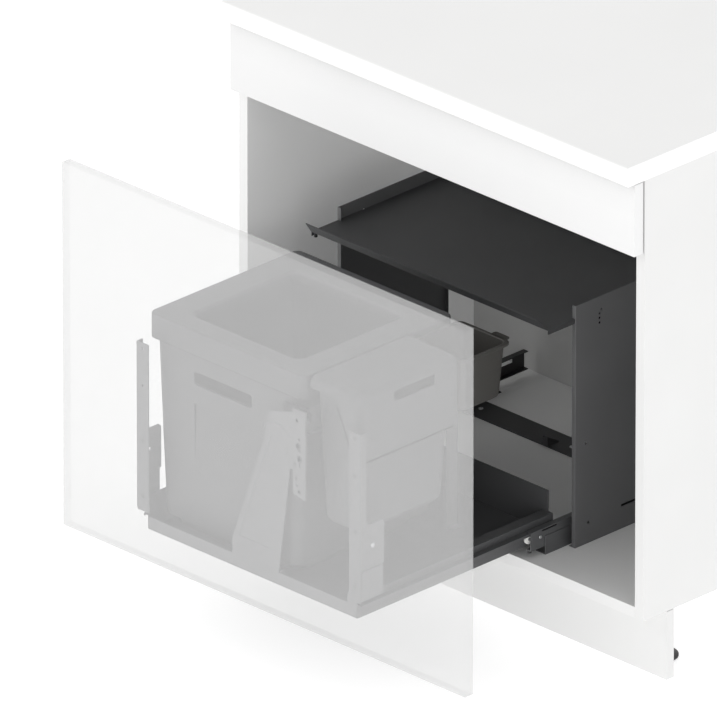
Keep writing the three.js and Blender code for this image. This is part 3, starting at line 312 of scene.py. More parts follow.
def film_material():
    """The door as the photograph shows it: a pale film that leaves the bins behind it in view."""
    material, tree, shader = nodes_of("door_film")
    tree.links.new(drifting(tree, DOOR_FILM, 5.0, 2.0, 0.01), shader.inputs["Base Color"])
    tree.links.new(ranged(tree, noise(tree, 700.0), 0.9, 1.0), shader.inputs["Roughness"])
    shader.inputs["Specular IOR Level"].default_value = 0.0
    shader.inputs["Alpha"].default_value = DOOR_ALPHA
    material.diffuse_color = DOOR_IN_VIEWPORT
    return material


# ---------------------------------------------------------------- mesh tools
CUTTER_REACH = 5  # how far a cutter stands out of what it cuts
SMOOTH_ANGLE = 35
BEVEL_ANGLE = 40


def link(obj, body, slot, stands_for=()):
    scene.collection.objects.link(obj)
    if not obj.data.materials:
        obj.data.materials.append(MATERIALS[slot])
    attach(obj, body)
    if stands_for:
        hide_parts(*stands_for)


def mesh_of(name, points, faces, smooth_angle=SMOOTH_ANGLE):
    """Mesh from points in millimetres, smooth except where faces meet at more than the angle."""
    mesh = bpy.data.meshes.new(name)
    mesh.from_pydata([Vector(point) * MM for point in points], [], faces)
    mesh.validate()
    mesh.shade_smooth()
    mesh.set_sharp_from_angle(angle=math.radians(smooth_angle))
    return mesh


def piece_of(name, mesh):
    return bpy.data.objects.new(name, mesh)


def moulding(name, parts):
    """A piece from a (points, faces) pair."""
    return piece_of(name, mesh_of(name, *parts))


def bevel(obj, width, segments=2):
    """Rounds the edges of a piece or of a CAD node, width in millimetres."""
    modifier = obj.modifiers.new("edge", "BEVEL")
    modifier.width = width * MM
    modifier.segments = segments
    modifier.limit_method = "ANGLE"
    modifier.angle_limit = math.radians(BEVEL_ANGLE)
    modifier.harden_normals = True
    return obj


def baked(obj):
    """Applies all modifiers of a piece to its mesh."""
    bpy.context.view_layer.update()
    graph = bpy.context.evaluated_depsgraph_get()
    mesh = bpy.data.meshes.new_from_object(obj.evaluated_get(graph))
    obj.modifiers.clear()
    obj.data = mesh


def carved(obj, *cutters, operation="DIFFERENCE"):
    """Cuts closed meshes out of a piece that isn't linked yet, or joins them to it."""
    scene.collection.objects.link(obj)
    helpers = []
    for number, mesh in enumerate(cutters):
        helper = piece_of("cutter", mesh)
        scene.collection.objects.link(helper)
        modifier = obj.modifiers.new(f"cut_{number}", "BOOLEAN")
        modifier.operation = operation
        modifier.solver = "EXACT"
        modifier.object = helper
        helpers.append(helper)
    baked(obj)
    for helper in helpers:
        bpy.data.objects.remove(helper)
    scene.collection.objects.unlink(obj)
    return obj


def resmoothed(obj):
    obj.data.shade_smooth()
    obj.data.set_sharp_from_angle(angle=math.radians(SMOOTH_ANGLE))
    return obj


def ring(x0, x1, y0, y1, radius, z, steps=12):
    """Rectangle with round corners, counter-clockwise, at height z."""
    corners = [(x1 - radius, y0 + radius, -90), (x1 - radius, y1 - radius, 0), (x0 + radius, y1 - radius, 90),
               (x0 + radius, y0 + radius, 180)]
    points = []
    for cx, cy, start in corners:
        for step in range(steps + 1):
            angle = math.radians(start + 90 * step / steps)
            points.append((cx + radius * math.cos(angle), cy + radius * math.sin(angle), z))
    return points


def skin(rings, closed=False):
    """Points and faces of a skin through rings. An open skin gets flat ends."""
    count = len(rings[0])
    points = [point for one in rings for point in one]
    faces = []
    for r in range(len(rings) if closed else len(rings) - 1):
        low, high = r * count, (r + 1) % len(rings) * count
        for i in range(count):
            j = (i + 1) % count
            faces.append((low + i, low + j, high + j, high + i))
    if not closed:
        faces.append(tuple(range(count - 1, -1, -1)))
        faces.append(tuple((len(rings) - 1) * count + i for i in range(count)))
    return points, faces


def merged(parts):
    """Several (points, faces) in one."""
    points, faces = [], []
    for some_points, some_faces in parts:
        offset = len(points)
        points += some_points
        faces += [tuple(index + offset for index in face) for face in some_faces]
    return points, faces


def lathe(profile, centre, axis, steps=40):
    """Points and faces of a profile of (radius, height) turned round an axis through centre."""
    turn = Vector((0, 0, 1)).rotation_difference(Vector(axis))
    rings = []
    for radius, height in profile:
        one = []
        for step in range(steps):
            angle = 2 * math.pi * step / steps
            point = Vector((radius * math.cos(angle), radius * math.sin(angle), height))
            one.append(tuple(Vector(centre) + turn @ point))
        rings.append(one)
    return skin(rings)


def box_mesh(x0, x1, y0, y1, z0, z1):
    points = [(x, y, z) for z in (z0, z1) for x, y in ((x0, y0), (x1, y0), (x1, y1), (x0, y1))]
    faces = [(3, 2, 1, 0), (4, 5, 6, 7), (0, 1, 5, 4), (1, 2, 6, 5), (2, 3, 7, 6), (3, 0, 4, 7)]
    return mesh_of("block", points, faces)


def prism_mesh(outline, low, high, axis):
    """Prism along x or y over a counter-clockwise outline in (y, z) or (x, z)."""
    if axis == "x":
        return mesh_of("prism", *skin([[(x, y, z) for y, z in outline] for x in (low, high)]))
    return mesh_of("prism", *skin([[(x, y, z) for x, z in outline] for y in (high, low)]))


def pin_mesh(centre, axis, radius, half, steps=24):
    return mesh_of("pin", *lathe([(radius, -half), (radius, half)], centre, axis, steps))


def pill_mesh(x0, x1, y0, y1, z0, z1, radius, axis):
    """Prism with rounded corners along x or y."""
    if axis == "x":
        flat = ring(y0, y1, z0, z1, radius, 0, 6)
        return prism_mesh([(y, z) for y, z, _ in flat], x0, x1, "x")
    flat = ring(x0, x1, z0, z1, radius, 0, 6)
    return prism_mesh([(x, z) for x, z, _ in flat], y0, y1, "y")


def rounding(radius, steps):
    """Offsets (inwards, upwards) of a quarter round, from the flat underside to the upright side."""
    angles = [math.pi / 2 * step / steps for step in range(steps + 1)]
    return [(radius * (1 - math.sin(angle)), radius * (1 - math.cos(angle))) for angle in angles]


def arc(radius, steps=5):
    """Offsets (inwards, upwards) of a quarter round edge, from the side face to the top face."""
    angles = [math.pi / 2 * step / steps for step in range(steps + 1)]
    return [(radius * (1 - math.cos(angle)), radius * math.sin(angle)) for angle in angles]


def bezier(controls, steps):
    """Points along a curve over its control points, without the first."""
    degree = len(controls) - 1
    points = []
    for step in range(1, steps + 1):
        t = step / steps
        weights = [math.comb(degree, k) * t ** k * (1 - t) ** (degree - k) for k in range(degree + 1)]
        points.append(tuple(sum(weight * value for weight, value in zip(weights, values))
                            for values in zip(*controls)))
    return points


# ---------------------------------------------------------------- bag frame and big bin
BREAK = 0.6  # small chamfer at the free edges of the mouldings
FRAME_WALL = 2.5
FRAME_CORNER = 14
FRAME_EDGE = 4.0  # rounding of the upper outer edge
FRAME_LIP = 7.0  # rounding down into the opening
OPENING = (55.6, 240, 42.5, 231)  # left rim, width, front rim, depth
OPENING_CORNER = 16
COLLAR = 18  # depth of the collar round the opening


def make_bag_frame():
    x0, x1, y0, y1, z0, z1 = span("bag_frame")
    rim_left, width, rim_front, depth = OPENING
    ox0, oy0 = x0 + rim_left, y0 + rim_front
    w, edge, lip, collar = FRAME_WALL, FRAME_EDGE, FRAME_LIP, z1 - COLLAR

    def outer(inset, z):
        return ring(x0 + inset, x1 - inset, y0 + inset, y1 - inset, FRAME_CORNER - inset, z)

    def inner(grow, z):
        return ring(ox0 - grow, ox0 + width + grow, oy0 - grow, oy0 + depth + grow, OPENING_CORNER + grow, z)

    # Up the outside, over the rim, down the collar, and back under the rim and inside the skirt.
    rings = [outer(BREAK, z0), outer(0, z0 + BREAK)]
    rings += [outer(out, z1 - edge + up) for out, up in arc(edge)]
    rings += [inner(out, z1 - down) for out, down in rounding(lip, 6)]
    rings += [inner(0, collar + BREAK), inner(BREAK, collar), inner(w, collar)]
    rings += [inner(w, z1 - lip), inner(lip + w, z1 - w)]
    rings += [outer(edge, z1 - w), outer(w, z1 - edge), outer(w, z0)]
    link(moulding("bag_frame_moulding", skin(rings, True)), "bag_frame", "bin_plastic", ("bag_frame",))


BIG_INSET = 8.2  # sides of the body, inwards of the rim
BIG_REAR = 6.5  # back of the body, in front of the bag frame's back
BIG_RIM_REAR = 4.8  # the same for the rim
BIG_TAPER = 10.5  # how much further in the body is at its foot
BIG_FRONT_TAPER = 0.4  # share of the taper that the front has
BIG_FRONT_WALL = 0.6  # share of the wall that the front has
BIG_BASE_INSET = 20  # sides of the foot, inwards of the body
BIG_BASE_LEFT = 1  # the same on the left, beside the tray's left wall
BIG_BASE_FRONT = 1.1  # share of the inset that the foot's front has
BIG_BASE_ROUND = 6
BIG_BASE_CORNER = 36
BIG_STEP = 12  # height of the foot
BIG_STEP_TOP = 13.6  # end of the step's curve above the foot
BIG_STEP_CURVE = ((0.8, 1.2), (3, 3.6), (9, 7.0), (15, 9.6), (17.4, 11.4), (18.6, BIG_STEP_TOP))  # (out, up)
BIG_CORNER = 22
BIG_WALL = 2.5
FRAME_SEAT = 0.3  # gap under the bag frame's skirt
FRONT_STEP = 3.4  # the part under the bag frame stands back by this
SLOT = (129, 23)  # grip slot, width and height
SLOT_CORNER = 5
SLOT_OFFSET = -8  # middle of the slot from the middle of the bag frame
SLOT_DROP = 28  # upper edge of the slot below the bag frame
RECESS_HEIGHT = 111
RECESS_GAP = 33  # upper edge of the recess below the slot's lower edge
RECESS_DEPTH = (0.6, 2.2)  # at the upper edge and 2 mm below it
RECESS_FADE = 2.7  # the recess runs out into the wall at its lower edge


def make_big_bin():
    x0, x1, _, _, z0, z1 = span("big_bin")
    fx0, fx1, fy0, fy1, fz0, _ = span("bag_frame")
    left, right, rear = x0 + BIG_INSET, x1 - BIG_INSET, fy1 - BIG_REAR
    shoulder, step = fz0 - FRAME_SEAT, z0 + BIG_STEP
    w, taper, base, base_corner, corner = BIG_WALL, BIG_TAPER, BIG_BASE_INSET, BIG_BASE_CORNER, BIG_CORNER

    def wall(drop, inset, z, radius, front=0.0, foot=0.0):
        """Ring of the body: drop is its taper there, inset its wall, foot how far the foot is set in."""
        y0 = fy0 + drop * BIG_FRONT_TAPER + inset * BIG_FRONT_WALL + foot * BIG_BASE_FRONT + front
        return ring(left + drop + inset + min(foot, BIG_BASE_LEFT), right - drop - inset - foot,
                    y0, rear - drop - inset - foot, radius, z)

    def rim(inset, z):
        return ring(x0 + inset, x1 - inset, fy0 + FRONT_STEP + inset, fy1 - BIG_RIM_REAR - inset,
                    FRAME_CORNER, z)

    # The foot and its step, the body, the part under the bag frame, the rim, then down the inside.
    rings = [wall(taper, out, z0 + up, base_corner - out, 0, base) for out, up in rounding(BIG_BASE_ROUND, 5)]
    rings += [wall(taper, 0, step - 2, base_corner, 0, base - 1)]
    rings += [wall(taper, 0, step + up, corner + 10 - out * 0.5, 0, base - 1 - out)
              for out, up in BIG_STEP_CURVE]
    rings += [wall(taper * 0.5, 0, (step + BIG_STEP_TOP + shoulder) / 2, corner),
              wall(0, 0, shoulder - BREAK, corner), wall(0, 0.5, shoulder, corner),
              wall(0, 0.5, shoulder, corner, FRONT_STEP), wall(0, 0, z1 - 8, corner, FRONT_STEP),
              rim(0, z1 - 6), rim(0, z1 - 0.8), rim(0.8, z1),
              wall(0, w, z1, corner - w, FRONT_STEP), wall(0, w, shoulder - 2, corner - w, FRONT_STEP),
              wall(taper, w, step + 16, corner - w, 2.8), wall(taper, 4.5, step + 12, corner, 2.8),
              wall(taper, w, step + 2, base_corner - w, 1.3, base - 1),
              wall(taper, w, z0 + 8, base_corner - w, 1.3, base),
              wall(taper, 7, z0 + w, base_corner - 6, 2.8, base)]
    body = moulding("big_bin_moulding", skin(rings))
    body.data.materials.append(MATERIALS["bin_plastic"])
    width, height = SLOT
    slot_x0 = (fx0 + fx1 - width) / 2 + SLOT_OFFSET
    slot_x1 = slot_x0 + width
    slot_z0 = fz0 - SLOT_DROP - height
    before = fy0 - CUTTER_REACH
    slot = pill_mesh(slot_x0, slot_x1, before, fy0 + 20, slot_z0, slot_z0 + height, SLOT_CORNER, "y")
    face = fy0 + taper * 0.2
    high, low = slot_z0 - RECESS_GAP, slot_z0 - RECESS_GAP - RECESS_HEIGHT
    recess = prism_mesh([(before, low), (fy0 + RECESS_FADE, low), (face + RECESS_DEPTH[1], high - 2),
                         (face + RECESS_DEPTH[0], high), (before, high)], slot_x0, slot_x1, "x")
    link(resmoothed(carved(body, slot, recess)), "big_bin", "bin_plastic", ("big_bin",))


# ---------------------------------------------------------------- small bins
HOOD_CORNER = 16
HOOD_CROWN = 14  # rounding of the upper edge
HOOD_WALL = 2
HOOD_SHORT = 20  # height of the skirt at the left and the front
HOOD_CURVE = ((10, 0), (26, 34), (36, 58))  # of the front cut: left of the right side, above the lower edge
HOOD_BEND = ((50, 8), (56, 0), (74, 0))  # where the cut turns level: left of the right side, below the skirt
HOOD_SHADE_STRIP = 3.5  # width of the strips of painted shade under the hood's edges
GRIP = (77, 90, 15, 18)  # setback from the front, length, below the top, height
GRIP_CORNER = 3
GRIP_MARGIN = 4  # of the sheet of painted shade behind the grip slot


def make_hood():
    x0, x1, y0, y1, z0, z1 = span("front_bin_hood")
    w, reach = HOOD_WALL, CUTTER_REACH
    crown, skirt = z1 - HOOD_CROWN, z1 - HOOD_SHORT

    def cap(inset, z):
        return ring(x0 + inset, x1 - inset, y0 + inset, y1 - inset, HOOD_CORNER - inset, z)

    rings = [cap(w, z0), cap(0.5, z0), cap(0, z0 + 0.5)]
    rings += [cap(out, crown + up) for out, up in arc(HOOD_CROWN, 7)]
    body = moulding("hood_moulding", skin(rings))
    body.data.materials.append(MATERIALS["bin_plastic"])
    inside = [cap(w, z0 - reach)] + [cap(w + out, crown + up) for out, up in arc(HOOD_CROWN - w, 7)]
    hollow = mesh_of("hollow", *skin(inside))
    bend = [(x1 - along, skirt - down) for along, down in HOOD_BEND]
    curve = [(x1 - along, z0 + up) for along, up in HOOD_CURVE] + bend[:1]
    curved = curve[:1] + bezier(curve, 12)
    beyond, under = x0 - reach, z0 - reach
    outline = [(beyond, under), (curve[0][0], under)] + curved + bezier(bend, 6) + [(beyond, skirt)]
    front = prism_mesh(outline, y0 - reach, y0 + HOOD_CORNER + 1, "y")
    side = box_mesh(beyond, x0 + HOOD_CORNER + 1, y0 + HOOD_CORNER, y1 + reach, under - 1, skirt)
    setback, length, below, height = GRIP
    grip_y0, grip_y1, grip_z0, grip_z1 = y0 + setback, y0 + setback + length, z1 - below - height, z1 - below
    grip = pill_mesh(x1 - 8, x1 + reach, grip_y0, grip_y1, grip_z0, grip_z1, GRIP_CORNER, "x")
    carved(body, hollow, front, side, grip)
    link(bevel(resmoothed(body), 0.5), "front_bin_hood", "bin_plastic", ("front_bin_hood",))

    # Near-black strips of painted shade along the curved front cut and the skirt's lower edge, and a sheet of
    # it behind the grip slot.
    strip = [(x - HOOD_SHADE_STRIP, z) for x, z in curved] + curved[::-1]
    painted_shadows = {
        "hood_front_edge": prism_mesh(strip[::-1], y0 + 0.2, y0 + w, "y"),
        "hood_lower_edge": box_mesh(x1 - w, x1 - 0.3, y0 + HOOD_CORNER, y1 - HOOD_CORNER,
                                    z0 - HOOD_SHADE_STRIP, z0 - 0.05),
        "hood_grip_pocket": box_mesh(x1 - 5.5, x1 - 4.5, grip_y0 - GRIP_MARGIN, grip_y1 + GRIP_MARGIN,
                                     grip_z0 - GRIP_MARGIN, crown),
    }
    for name, mesh in painted_shadows.items():
        piece = piece_of(name, mesh)
        piece.data.materials.append(PAINTED_SHADE_MATERIAL)
        link(piece, "front_bin_hood", "black_plastic")


SMALL_INSET = 9  # body of the front small bin, inwards of the hood
SMALL_TAPER = 7
SMALL_CORNER = 22
SMALL_WALL = 2
SMALL_FOOT = 16  # rounding of the base
HOOK = (60, 14, 2.3)  # width, drop and rise above the carrier rail
HOOK_SHEET = 1.6


def strap(x_wall, x_hook, middle):
    """Hook of a small bin over the carrier rail, as a bent strip."""
    width, drop, rise = HOOK
    t, top = HOOK_SHEET, span("bin_carrier")[5] + rise
    section = [(x_wall, top), (x_hook + 1, top), (x_hook, top - 1), (x_hook, top - drop),
               (x_hook + t, top - drop), (x_hook + t, top - 2), (x_wall, top - 2)]
    return skin([[(x, y, z) for x, z in section] for y in (middle + width / 2, middle - width / 2)])


def make_front_bin():
    hx0, hx1, hy0, hy1, _, _ = span("front_bin_hood")
    hook_x, _, _, _, z0, z1 = span("front_small_bin")
    i, w, taper, corner = SMALL_INSET, SMALL_WALL, SMALL_TAPER, SMALL_CORNER

    def wall(drop, inset, z, radius):
        inwards = i + drop + inset
        return ring(hx0 + inwards, hx1 - inwards, hy0 + inwards, hy1 - inwards, radius, z)

    # Up the outside from the rounded base, over the edge, and down the inside.
    rings = [wall(taper, out, z0 + up, corner - out * 0.7) for out, up in rounding(SMALL_FOOT, 7)]
    rings += [wall(taper * 0.5, 0, (z0 + z1) / 2, corner - 2), wall(0, 0, z1 - BREAK, corner - 4),
              wall(0, BREAK, z1, corner - 4), wall(0, w, z1, corner - 4 - w),
              wall(taper, w, z0 + 18, corner - w), wall(taper, w + 5, z0 + 7, corner - 6),
              wall(taper, 16, z0 + 3.5, corner - 12)]
    parts = [skin(rings), strap(hx0 + i + 2.5, hook_x, (hy0 + hy1) / 2)]
    link(moulding("front_bin_moulding", merged(parts)), "front_small_bin", "bin_plastic",
         ("front_small_bin",))


REAR_RIM = 5  # the rim stands out by this
REAR_TAPER = 6  # how much further in the body is at its base
REAR_CORNER = 14
REAR_FOOT = 8  # rounding of the base
REAR_LIP = (46, 14, 9, 2.5)  # start and end left of the right side, reach behind the rim, thickness


def make_rear_bin():
    hx0, hx1, _, _, _, _ = span("front_bin_hood")
    hook_x, _, y0, y_lip, z0, z1 = span("rear_small_bin")
    lip_start, lip_end, lip_reach, lip_thick = REAR_LIP
    y1 = y_lip - lip_reach
    w, r, deep, corner = SMALL_WALL, REAR_RIM, REAR_RIM + REAR_TAPER, REAR_CORNER

    def wall(inset, z, radius):
        return ring(hx0 + inset, hx1 - inset, y0 + inset, y1 - inset, radius, z)

    # Up the outside from the rounded base, round the rim, and down the inside.
    rings = [wall(deep + out, z0 + up, corner - out * 0.5) for out, up in rounding(REAR_FOOT, 5)]
    rings += [wall(r + 1, z1 - 9, corner), wall(r, z1 - 6.5, corner), wall(r - 1.2, z1 - 5, corner),
              wall(0.4, z1 - 4.6, corner), wall(0, z1 - 4, corner), wall(0, z1 - 0.8, corner),
              wall(0.8, z1, corner), wall(r + w - 1, z1, corner - w), wall(r + w, z1 - 1, corner - w),
              wall(deep + w, z0 + 10, corner - w), wall(deep + 4, z0 + 4.5, corner - 4),
              wall(deep + 9, z0 + 2.5, corner - 6)]
    lip = skin([ring(hx1 - lip_start, hx1 - lip_end, y1 - 3, y_lip, 4, z) for z in (z1 - lip_thick, z1)])
    parts = [skin(rings), lip, strap(hx0 + r + 3, hook_x, (y0 + y1) / 2)]
    link(moulding("rear_bin_moulding", merged(parts)), "rear_small_bin", "taupe_plastic", ("rear_small_bin",))


# ---------------------------------------------------------------- tray and door brackets
TRAY_SHEET = 2
TRAY_LEDGE = (21, 10)  # width of the right ledge and height of its lip
TRAY_RIM = 22  # height of the front
TRAY_EDGE = 0.6
GUARD_SHEET = 1.5  # of the left wall, beside the big bin
GUARD_TOP = 61  # above the tray's underside


def make_tray():
    """Folded tray: a ledge along the right side, a plain taller wall along the left."""
    x0, x1, y0, y1, z0, top = span("tray")
    t, reach = TRAY_SHEET, CUTTER_REACH
    ledge, lip = TRAY_LEDGE
    guard, guard_x, edge = z0 + GUARD_TOP, x0 + GUARD_SHEET, x1 - ledge
    profile = [(x0, z0), (x1, z0), (x1, top), (edge, top), (edge, top - lip), (edge + t, top - lip),
               (edge + t, top - t), (x1 - t, top - t), (x1 - t, z0 + t), (guard_x, z0 + t), (guard_x, guard),
               (x0, guard)]
    pan = piece_of("tray_pan", prism_mesh(profile, y0, y1, "y"))
    carved(pan, box_mesh(x0 - reach, x1 + reach, y0 - reach, y0 + t, z0 - reach, guard + reach))
    link(bevel(resmoothed(pan), TRAY_EDGE), "drawer", "tray_steel", ("tray",))
    front = piece_of("tray_front", box_mesh(x0, x1, y0, y0 + t, z0, z0 + TRAY_RIM))
    carved(front, box_mesh(edge, x1, y0, y0 + t, z0, top), operation="UNION")
    link(bevel(resmoothed(front), TRAY_EDGE), "drawer", "bracket_steel", ("tray",))


BRACKET_SHEET = 2
BRACKET_SIDE = 1  # outer face of the side plate, inwards of the solid's
BRACKET_DEPTH = (52, 48.5)  # upper and lower part of the side plate
BRACKET_STEP = 52  # height of the lower part
BRACKET_PLATE = 128  # height of the side plate
BRACKET_RETURN = 12.5  # depth of the fold above the side plate
BRACKET_ROUND = (5, 6)  # cut corners of the side plate and of the notch above it
BRACKET_FLANGE = (26, -4)  # width, and its lower end above the foot
BRACKET_FOOT = 28.3  # rear end of the foot behind the door
BRACKET_HOLES = (22, 118, 214, 278)  # above the foot
BRACKET_HOLE = (26, 91)  # in the side plate, behind the door and above the foot
FLANGE_BORE, SIDE_BORE = 2.6, 3.5
BORE_HALF = 6
BRACKET_EDGE = 0.4


def make_bracket(side):
    x0, x1, y0, _, z0, z1 = span(f"door_bracket_{side}")
    tx0, tx1, ty0, _, _, _ = span("tray")
    t = BRACKET_SHEET
    right = side == "right"
    outer = x1 - BRACKET_SIDE if right else x0 + BRACKET_SIDE

    def across(reach, width):
        """x range of a strip that starts at reach inwards from the outer face."""
        near = outer - reach if right else outer + reach
        far = near - width if right else near + width
        return min(near, far), max(near, far)

    upper, lower, turned = y0 + BRACKET_DEPTH[0], y0 + BRACKET_DEPTH[1], y0 + BRACKET_RETURN
    step, high = z0 + BRACKET_STEP, z0 + BRACKET_PLATE
    corner, notch = BRACKET_ROUND
    outline = [(y0, z0), (lower, z0), (lower, step), (upper, step), (upper, high - corner),
               (upper - corner, high), (turned + notch, high), (turned, high + notch), (turned, z1), (y0, z1)]
    body = piece_of(f"bracket_{side}", prism_mesh(outline, *across(0, t), "x"))
    flange_width, flange_rise = BRACKET_FLANGE
    inwards = abs((tx1 if right else tx0) - outer) + (TRAY_LEDGE[0] - t if right else 0)
    flange = box_mesh(*across(t / 2, flange_width - t / 2), y0, y0 + t, z0 + flange_rise, z1)
    doubled = box_mesh(*across(-BRACKET_SIDE, t), y0 + t, lower, z0, step - 1)
    foot = box_mesh(*across(t / 2, inwards - t / 2), ty0, y0 + BRACKET_FOOT, z0, z0 + t)
    for piece in (flange, doubled, foot):
        carved(body, piece, operation="UNION")
    middle = sum(across(0, flange_width)) / 2
    along, rise = BRACKET_HOLE
    bores = [pin_mesh((middle, y0, z0 + up), (0, 1, 0), FLANGE_BORE, BORE_HALF) for up in BRACKET_HOLES]
    bores.append(pin_mesh((outer, y0 + along, z0 + rise), (1, 0, 0), SIDE_BORE, BORE_HALF))
    carved(body, *bores)
    link(bevel(resmoothed(body), BRACKET_EDGE), "drawer", "bracket_steel", (f"door_bracket_{side}",))


# ---------------------------------------------------------------- door
DOOR_EDGE = 1.0
CORE_EDGE = 0.5
DOOR_SKIN = 0.8  # between the outer faces and those of the core
DOOR_TO_BRACKET = 0.35  # keeps the film's back face off the brackets, which touch the CAD door


def make_door():
    """The door's panel and its core, both of the same pale film, that cast no shade on the bins."""
    film = film_material()
    x0, x1, y0, y1, z0, z1 = span("door")
    y1 -= DOOR_TO_BRACKET
    for name, d, edge in (("door_panel", 0, DOOR_EDGE), ("door_core", DOOR_SKIN, CORE_EDGE)):
        panel = piece_of(name, box_mesh(x0 + d, x1 - d, y0 + d, y1 - d, z0 + d, z1 - d))
        panel.data.materials.append(film)
        link(bevel(panel, edge), "drawer", "white_front", ("door",))
        panel.visible_shadow = False
        panel.visible_diffuse = False
        panel.visible_glossy = False


# ---------------------------------------------------------------- rollers, screws and feet
ROLLER_BORE = 2.85
ROLLER_STEPS = 40
UP, FRONT, RIGHT = (0, 0, 1), (0, -1, 0), (1, 0, 0)


def make_roller(node):
    x0, x1, y0, y1, z0, z1 = span(node)
    radius, half, bore = (z1 - z0) / 2, (x1 - x0) / 2, ROLLER_BORE
    centre = ((x0 + x1) / 2, (y0 + y1) / 2, (z0 + z1) / 2)
    one_side = [(bore, half), (bore + 1.2, half), (bore + 1.6, half - 0.6), (radius - 3.2, half - 0.6),
                (radius - 2.6, half), (radius - 0.8, half), (radius, half - 0.7)]
    profile = [(r, -height) for r, height in one_side] + one_side[::-1]
    points, faces = lathe(profile, centre, RIGHT, ROLLER_STEPS)
    # The bore takes the place of the flat ends.
    last = (len(profile) - 1) * ROLLER_STEPS
    following = [(i + 1) % ROLLER_STEPS for i in range(ROLLER_STEPS)]
    bore_faces = [(last + i, last + j, j, i) for i, j in enumerate(following)]
    link(moulding(f"{node}_wheel", (points, faces[:-2] + bore_faces)), node, "white_nylon", (node,))


HEADS = {  # radius, height, and whether the head has a cross recess
    "strip_screws": (4.2, 1.8, True),
    "bracket_screws": (3.4, 1.4, True),
    "frame_screws": (3.6, 1.5, True),
    "rail_rivet": (3.0, 1.2, False),
    "plate_cams": (5.2, 1.2, True),
    "plate_pins": (2.6, 0.5, False),
    "bracket_rivet": (4.2, 1.8, False),
    # black discs over the flange holes: painted shade
    "bracket_hole_backings": (3.3, 0.25, False),
}


def heads(kind, body, slot, places, suffix=""):
    """Heads of one kind as one piece. Each place is (point, direction out of the surface)."""
    radius, height, cross = HEADS[kind]
    name = kind + suffix
    steps = 24
    angles = [2 * math.pi * s / steps for s in range(steps)]
    profile = [(radius, 0), (radius, height * 0.35), (radius * 0.86, height * 0.8), (radius * 0.55, height)]
    rings = [[(r * math.cos(angle), r * math.sin(angle), h) for angle in angles] for r, h in profile]
    if cross:
        arm, slim = radius * 0.48, radius * 0.224
        star = []
        for angle in angles:
            off_arm = abs((angle + math.pi / 4) % (math.pi / 2) - math.pi / 4)
            reach = arm if off_arm < 0.2 else slim
            star.append((reach * math.cos(angle), reach * math.sin(angle)))
        rings.append([(x, y, height) for x, y in star])
        rings.append([(x * 0.7, y * 0.7, height - radius * 0.35) for x, y in star])
    points, faces = skin(rings)
    parts = []
    for point, direction in places:
        turn = Vector((0, 0, 1)).rotation_difference(Vector(direction))
        parts.append(([tuple(Vector(point) + turn @ Vector(one)) for one in points], faces))
    link(piece_of(name, mesh_of(name, *merged(parts), smooth_angle=30)), body, slot)


FOOT_STEPS = 48
TUBE = 19.0  # radius of a leg socket's tube
RIBS = 8
RIB_HALF = 1.1
THREAD = (4.0, 9.0, 8.0)  # pitch, radius of the crest and of the root


def make_foot(where):
    x0, x1, y0, y1, z0, z1 = span(f"leg_socket_{where}")
    cx, cy = (x0 + x1) / 2, (y0 + y1) / 2
    axis = (cx, cy, 0)
    flange, tube = (x1 - x0) / 2, TUBE
    profile = [(9.3, z0), (tube - 1, z0), (tube, z0 + 1), (tube, z0 + 12), (tube + 1.2, z0 + 13.5),
               (tube + 1.2, z0 + 17), (tube, z0 + 18.5), (tube, z1 - 20), (tube + 1.5, z1 - 13),
               (tube + 6, z1 - 8), (flange - 1, z1 - 6), (flange, z1 - 5), (flange, z1)]
    outline = [(tube - 1, z0 + 22), (tube + 2.2, z0 + 26), (tube + 2.2, z1 - 24), (flange - 6, z1 - 6.2),
               (flange - 6, z1 - 3), (tube - 1, z1 - 3)]
    parts = [lathe(profile, axis, UP, FOOT_STEPS)]
    for number in range(RIBS):
        angle = math.radians(360 / RIBS * (number + 0.5))
        out = Vector((math.cos(angle), math.sin(angle), 0))
        side = Vector((-math.sin(angle), math.cos(angle), 0))
        parts.append(skin([[tuple(Vector((cx, cy, z)) + out * r + side * offset) for r, z in outline]
                           for offset in (RIB_HALF, -RIB_HALF)]))
    link(moulding(f"leg_{where}_socket", merged(parts)), "cabinet", "black_plastic", (f"leg_socket_{where}",))
    fx0, fx1, _, _, fz0, fz1 = span(f"leg_foot_{where}")
    foot = (fx1 - fx0) / 2
    pitch, crest, root = THREAD
    profile = [(foot - 2, fz0), (foot, fz0 + 1.6), (foot, fz0 + 4.5), (foot - 1.2, fz0 + 5.8),
               (foot * 0.62, fz0 + 8.4), (16, fz0 + 9), (15, fz0 + 10), (15, z0 - 1), (14, z0)]
    height = z0
    while height + pitch < fz1:
        profile += [(crest, height + 0.2), (crest, height + 1.4), (root, height + 2.0), (root, height + 3.4)]
        height += pitch
    profile.append((root - 1, fz1))
    link(moulding(f"leg_{where}_foot", lathe(profile, axis, UP, FOOT_STEPS)), "cabinet", "black_plastic",
         (f"leg_foot_{where}",))


STRIP_SHEET = 2
FOOT_SHEET = 1.5  # of the floor brackets and the frame's side plates


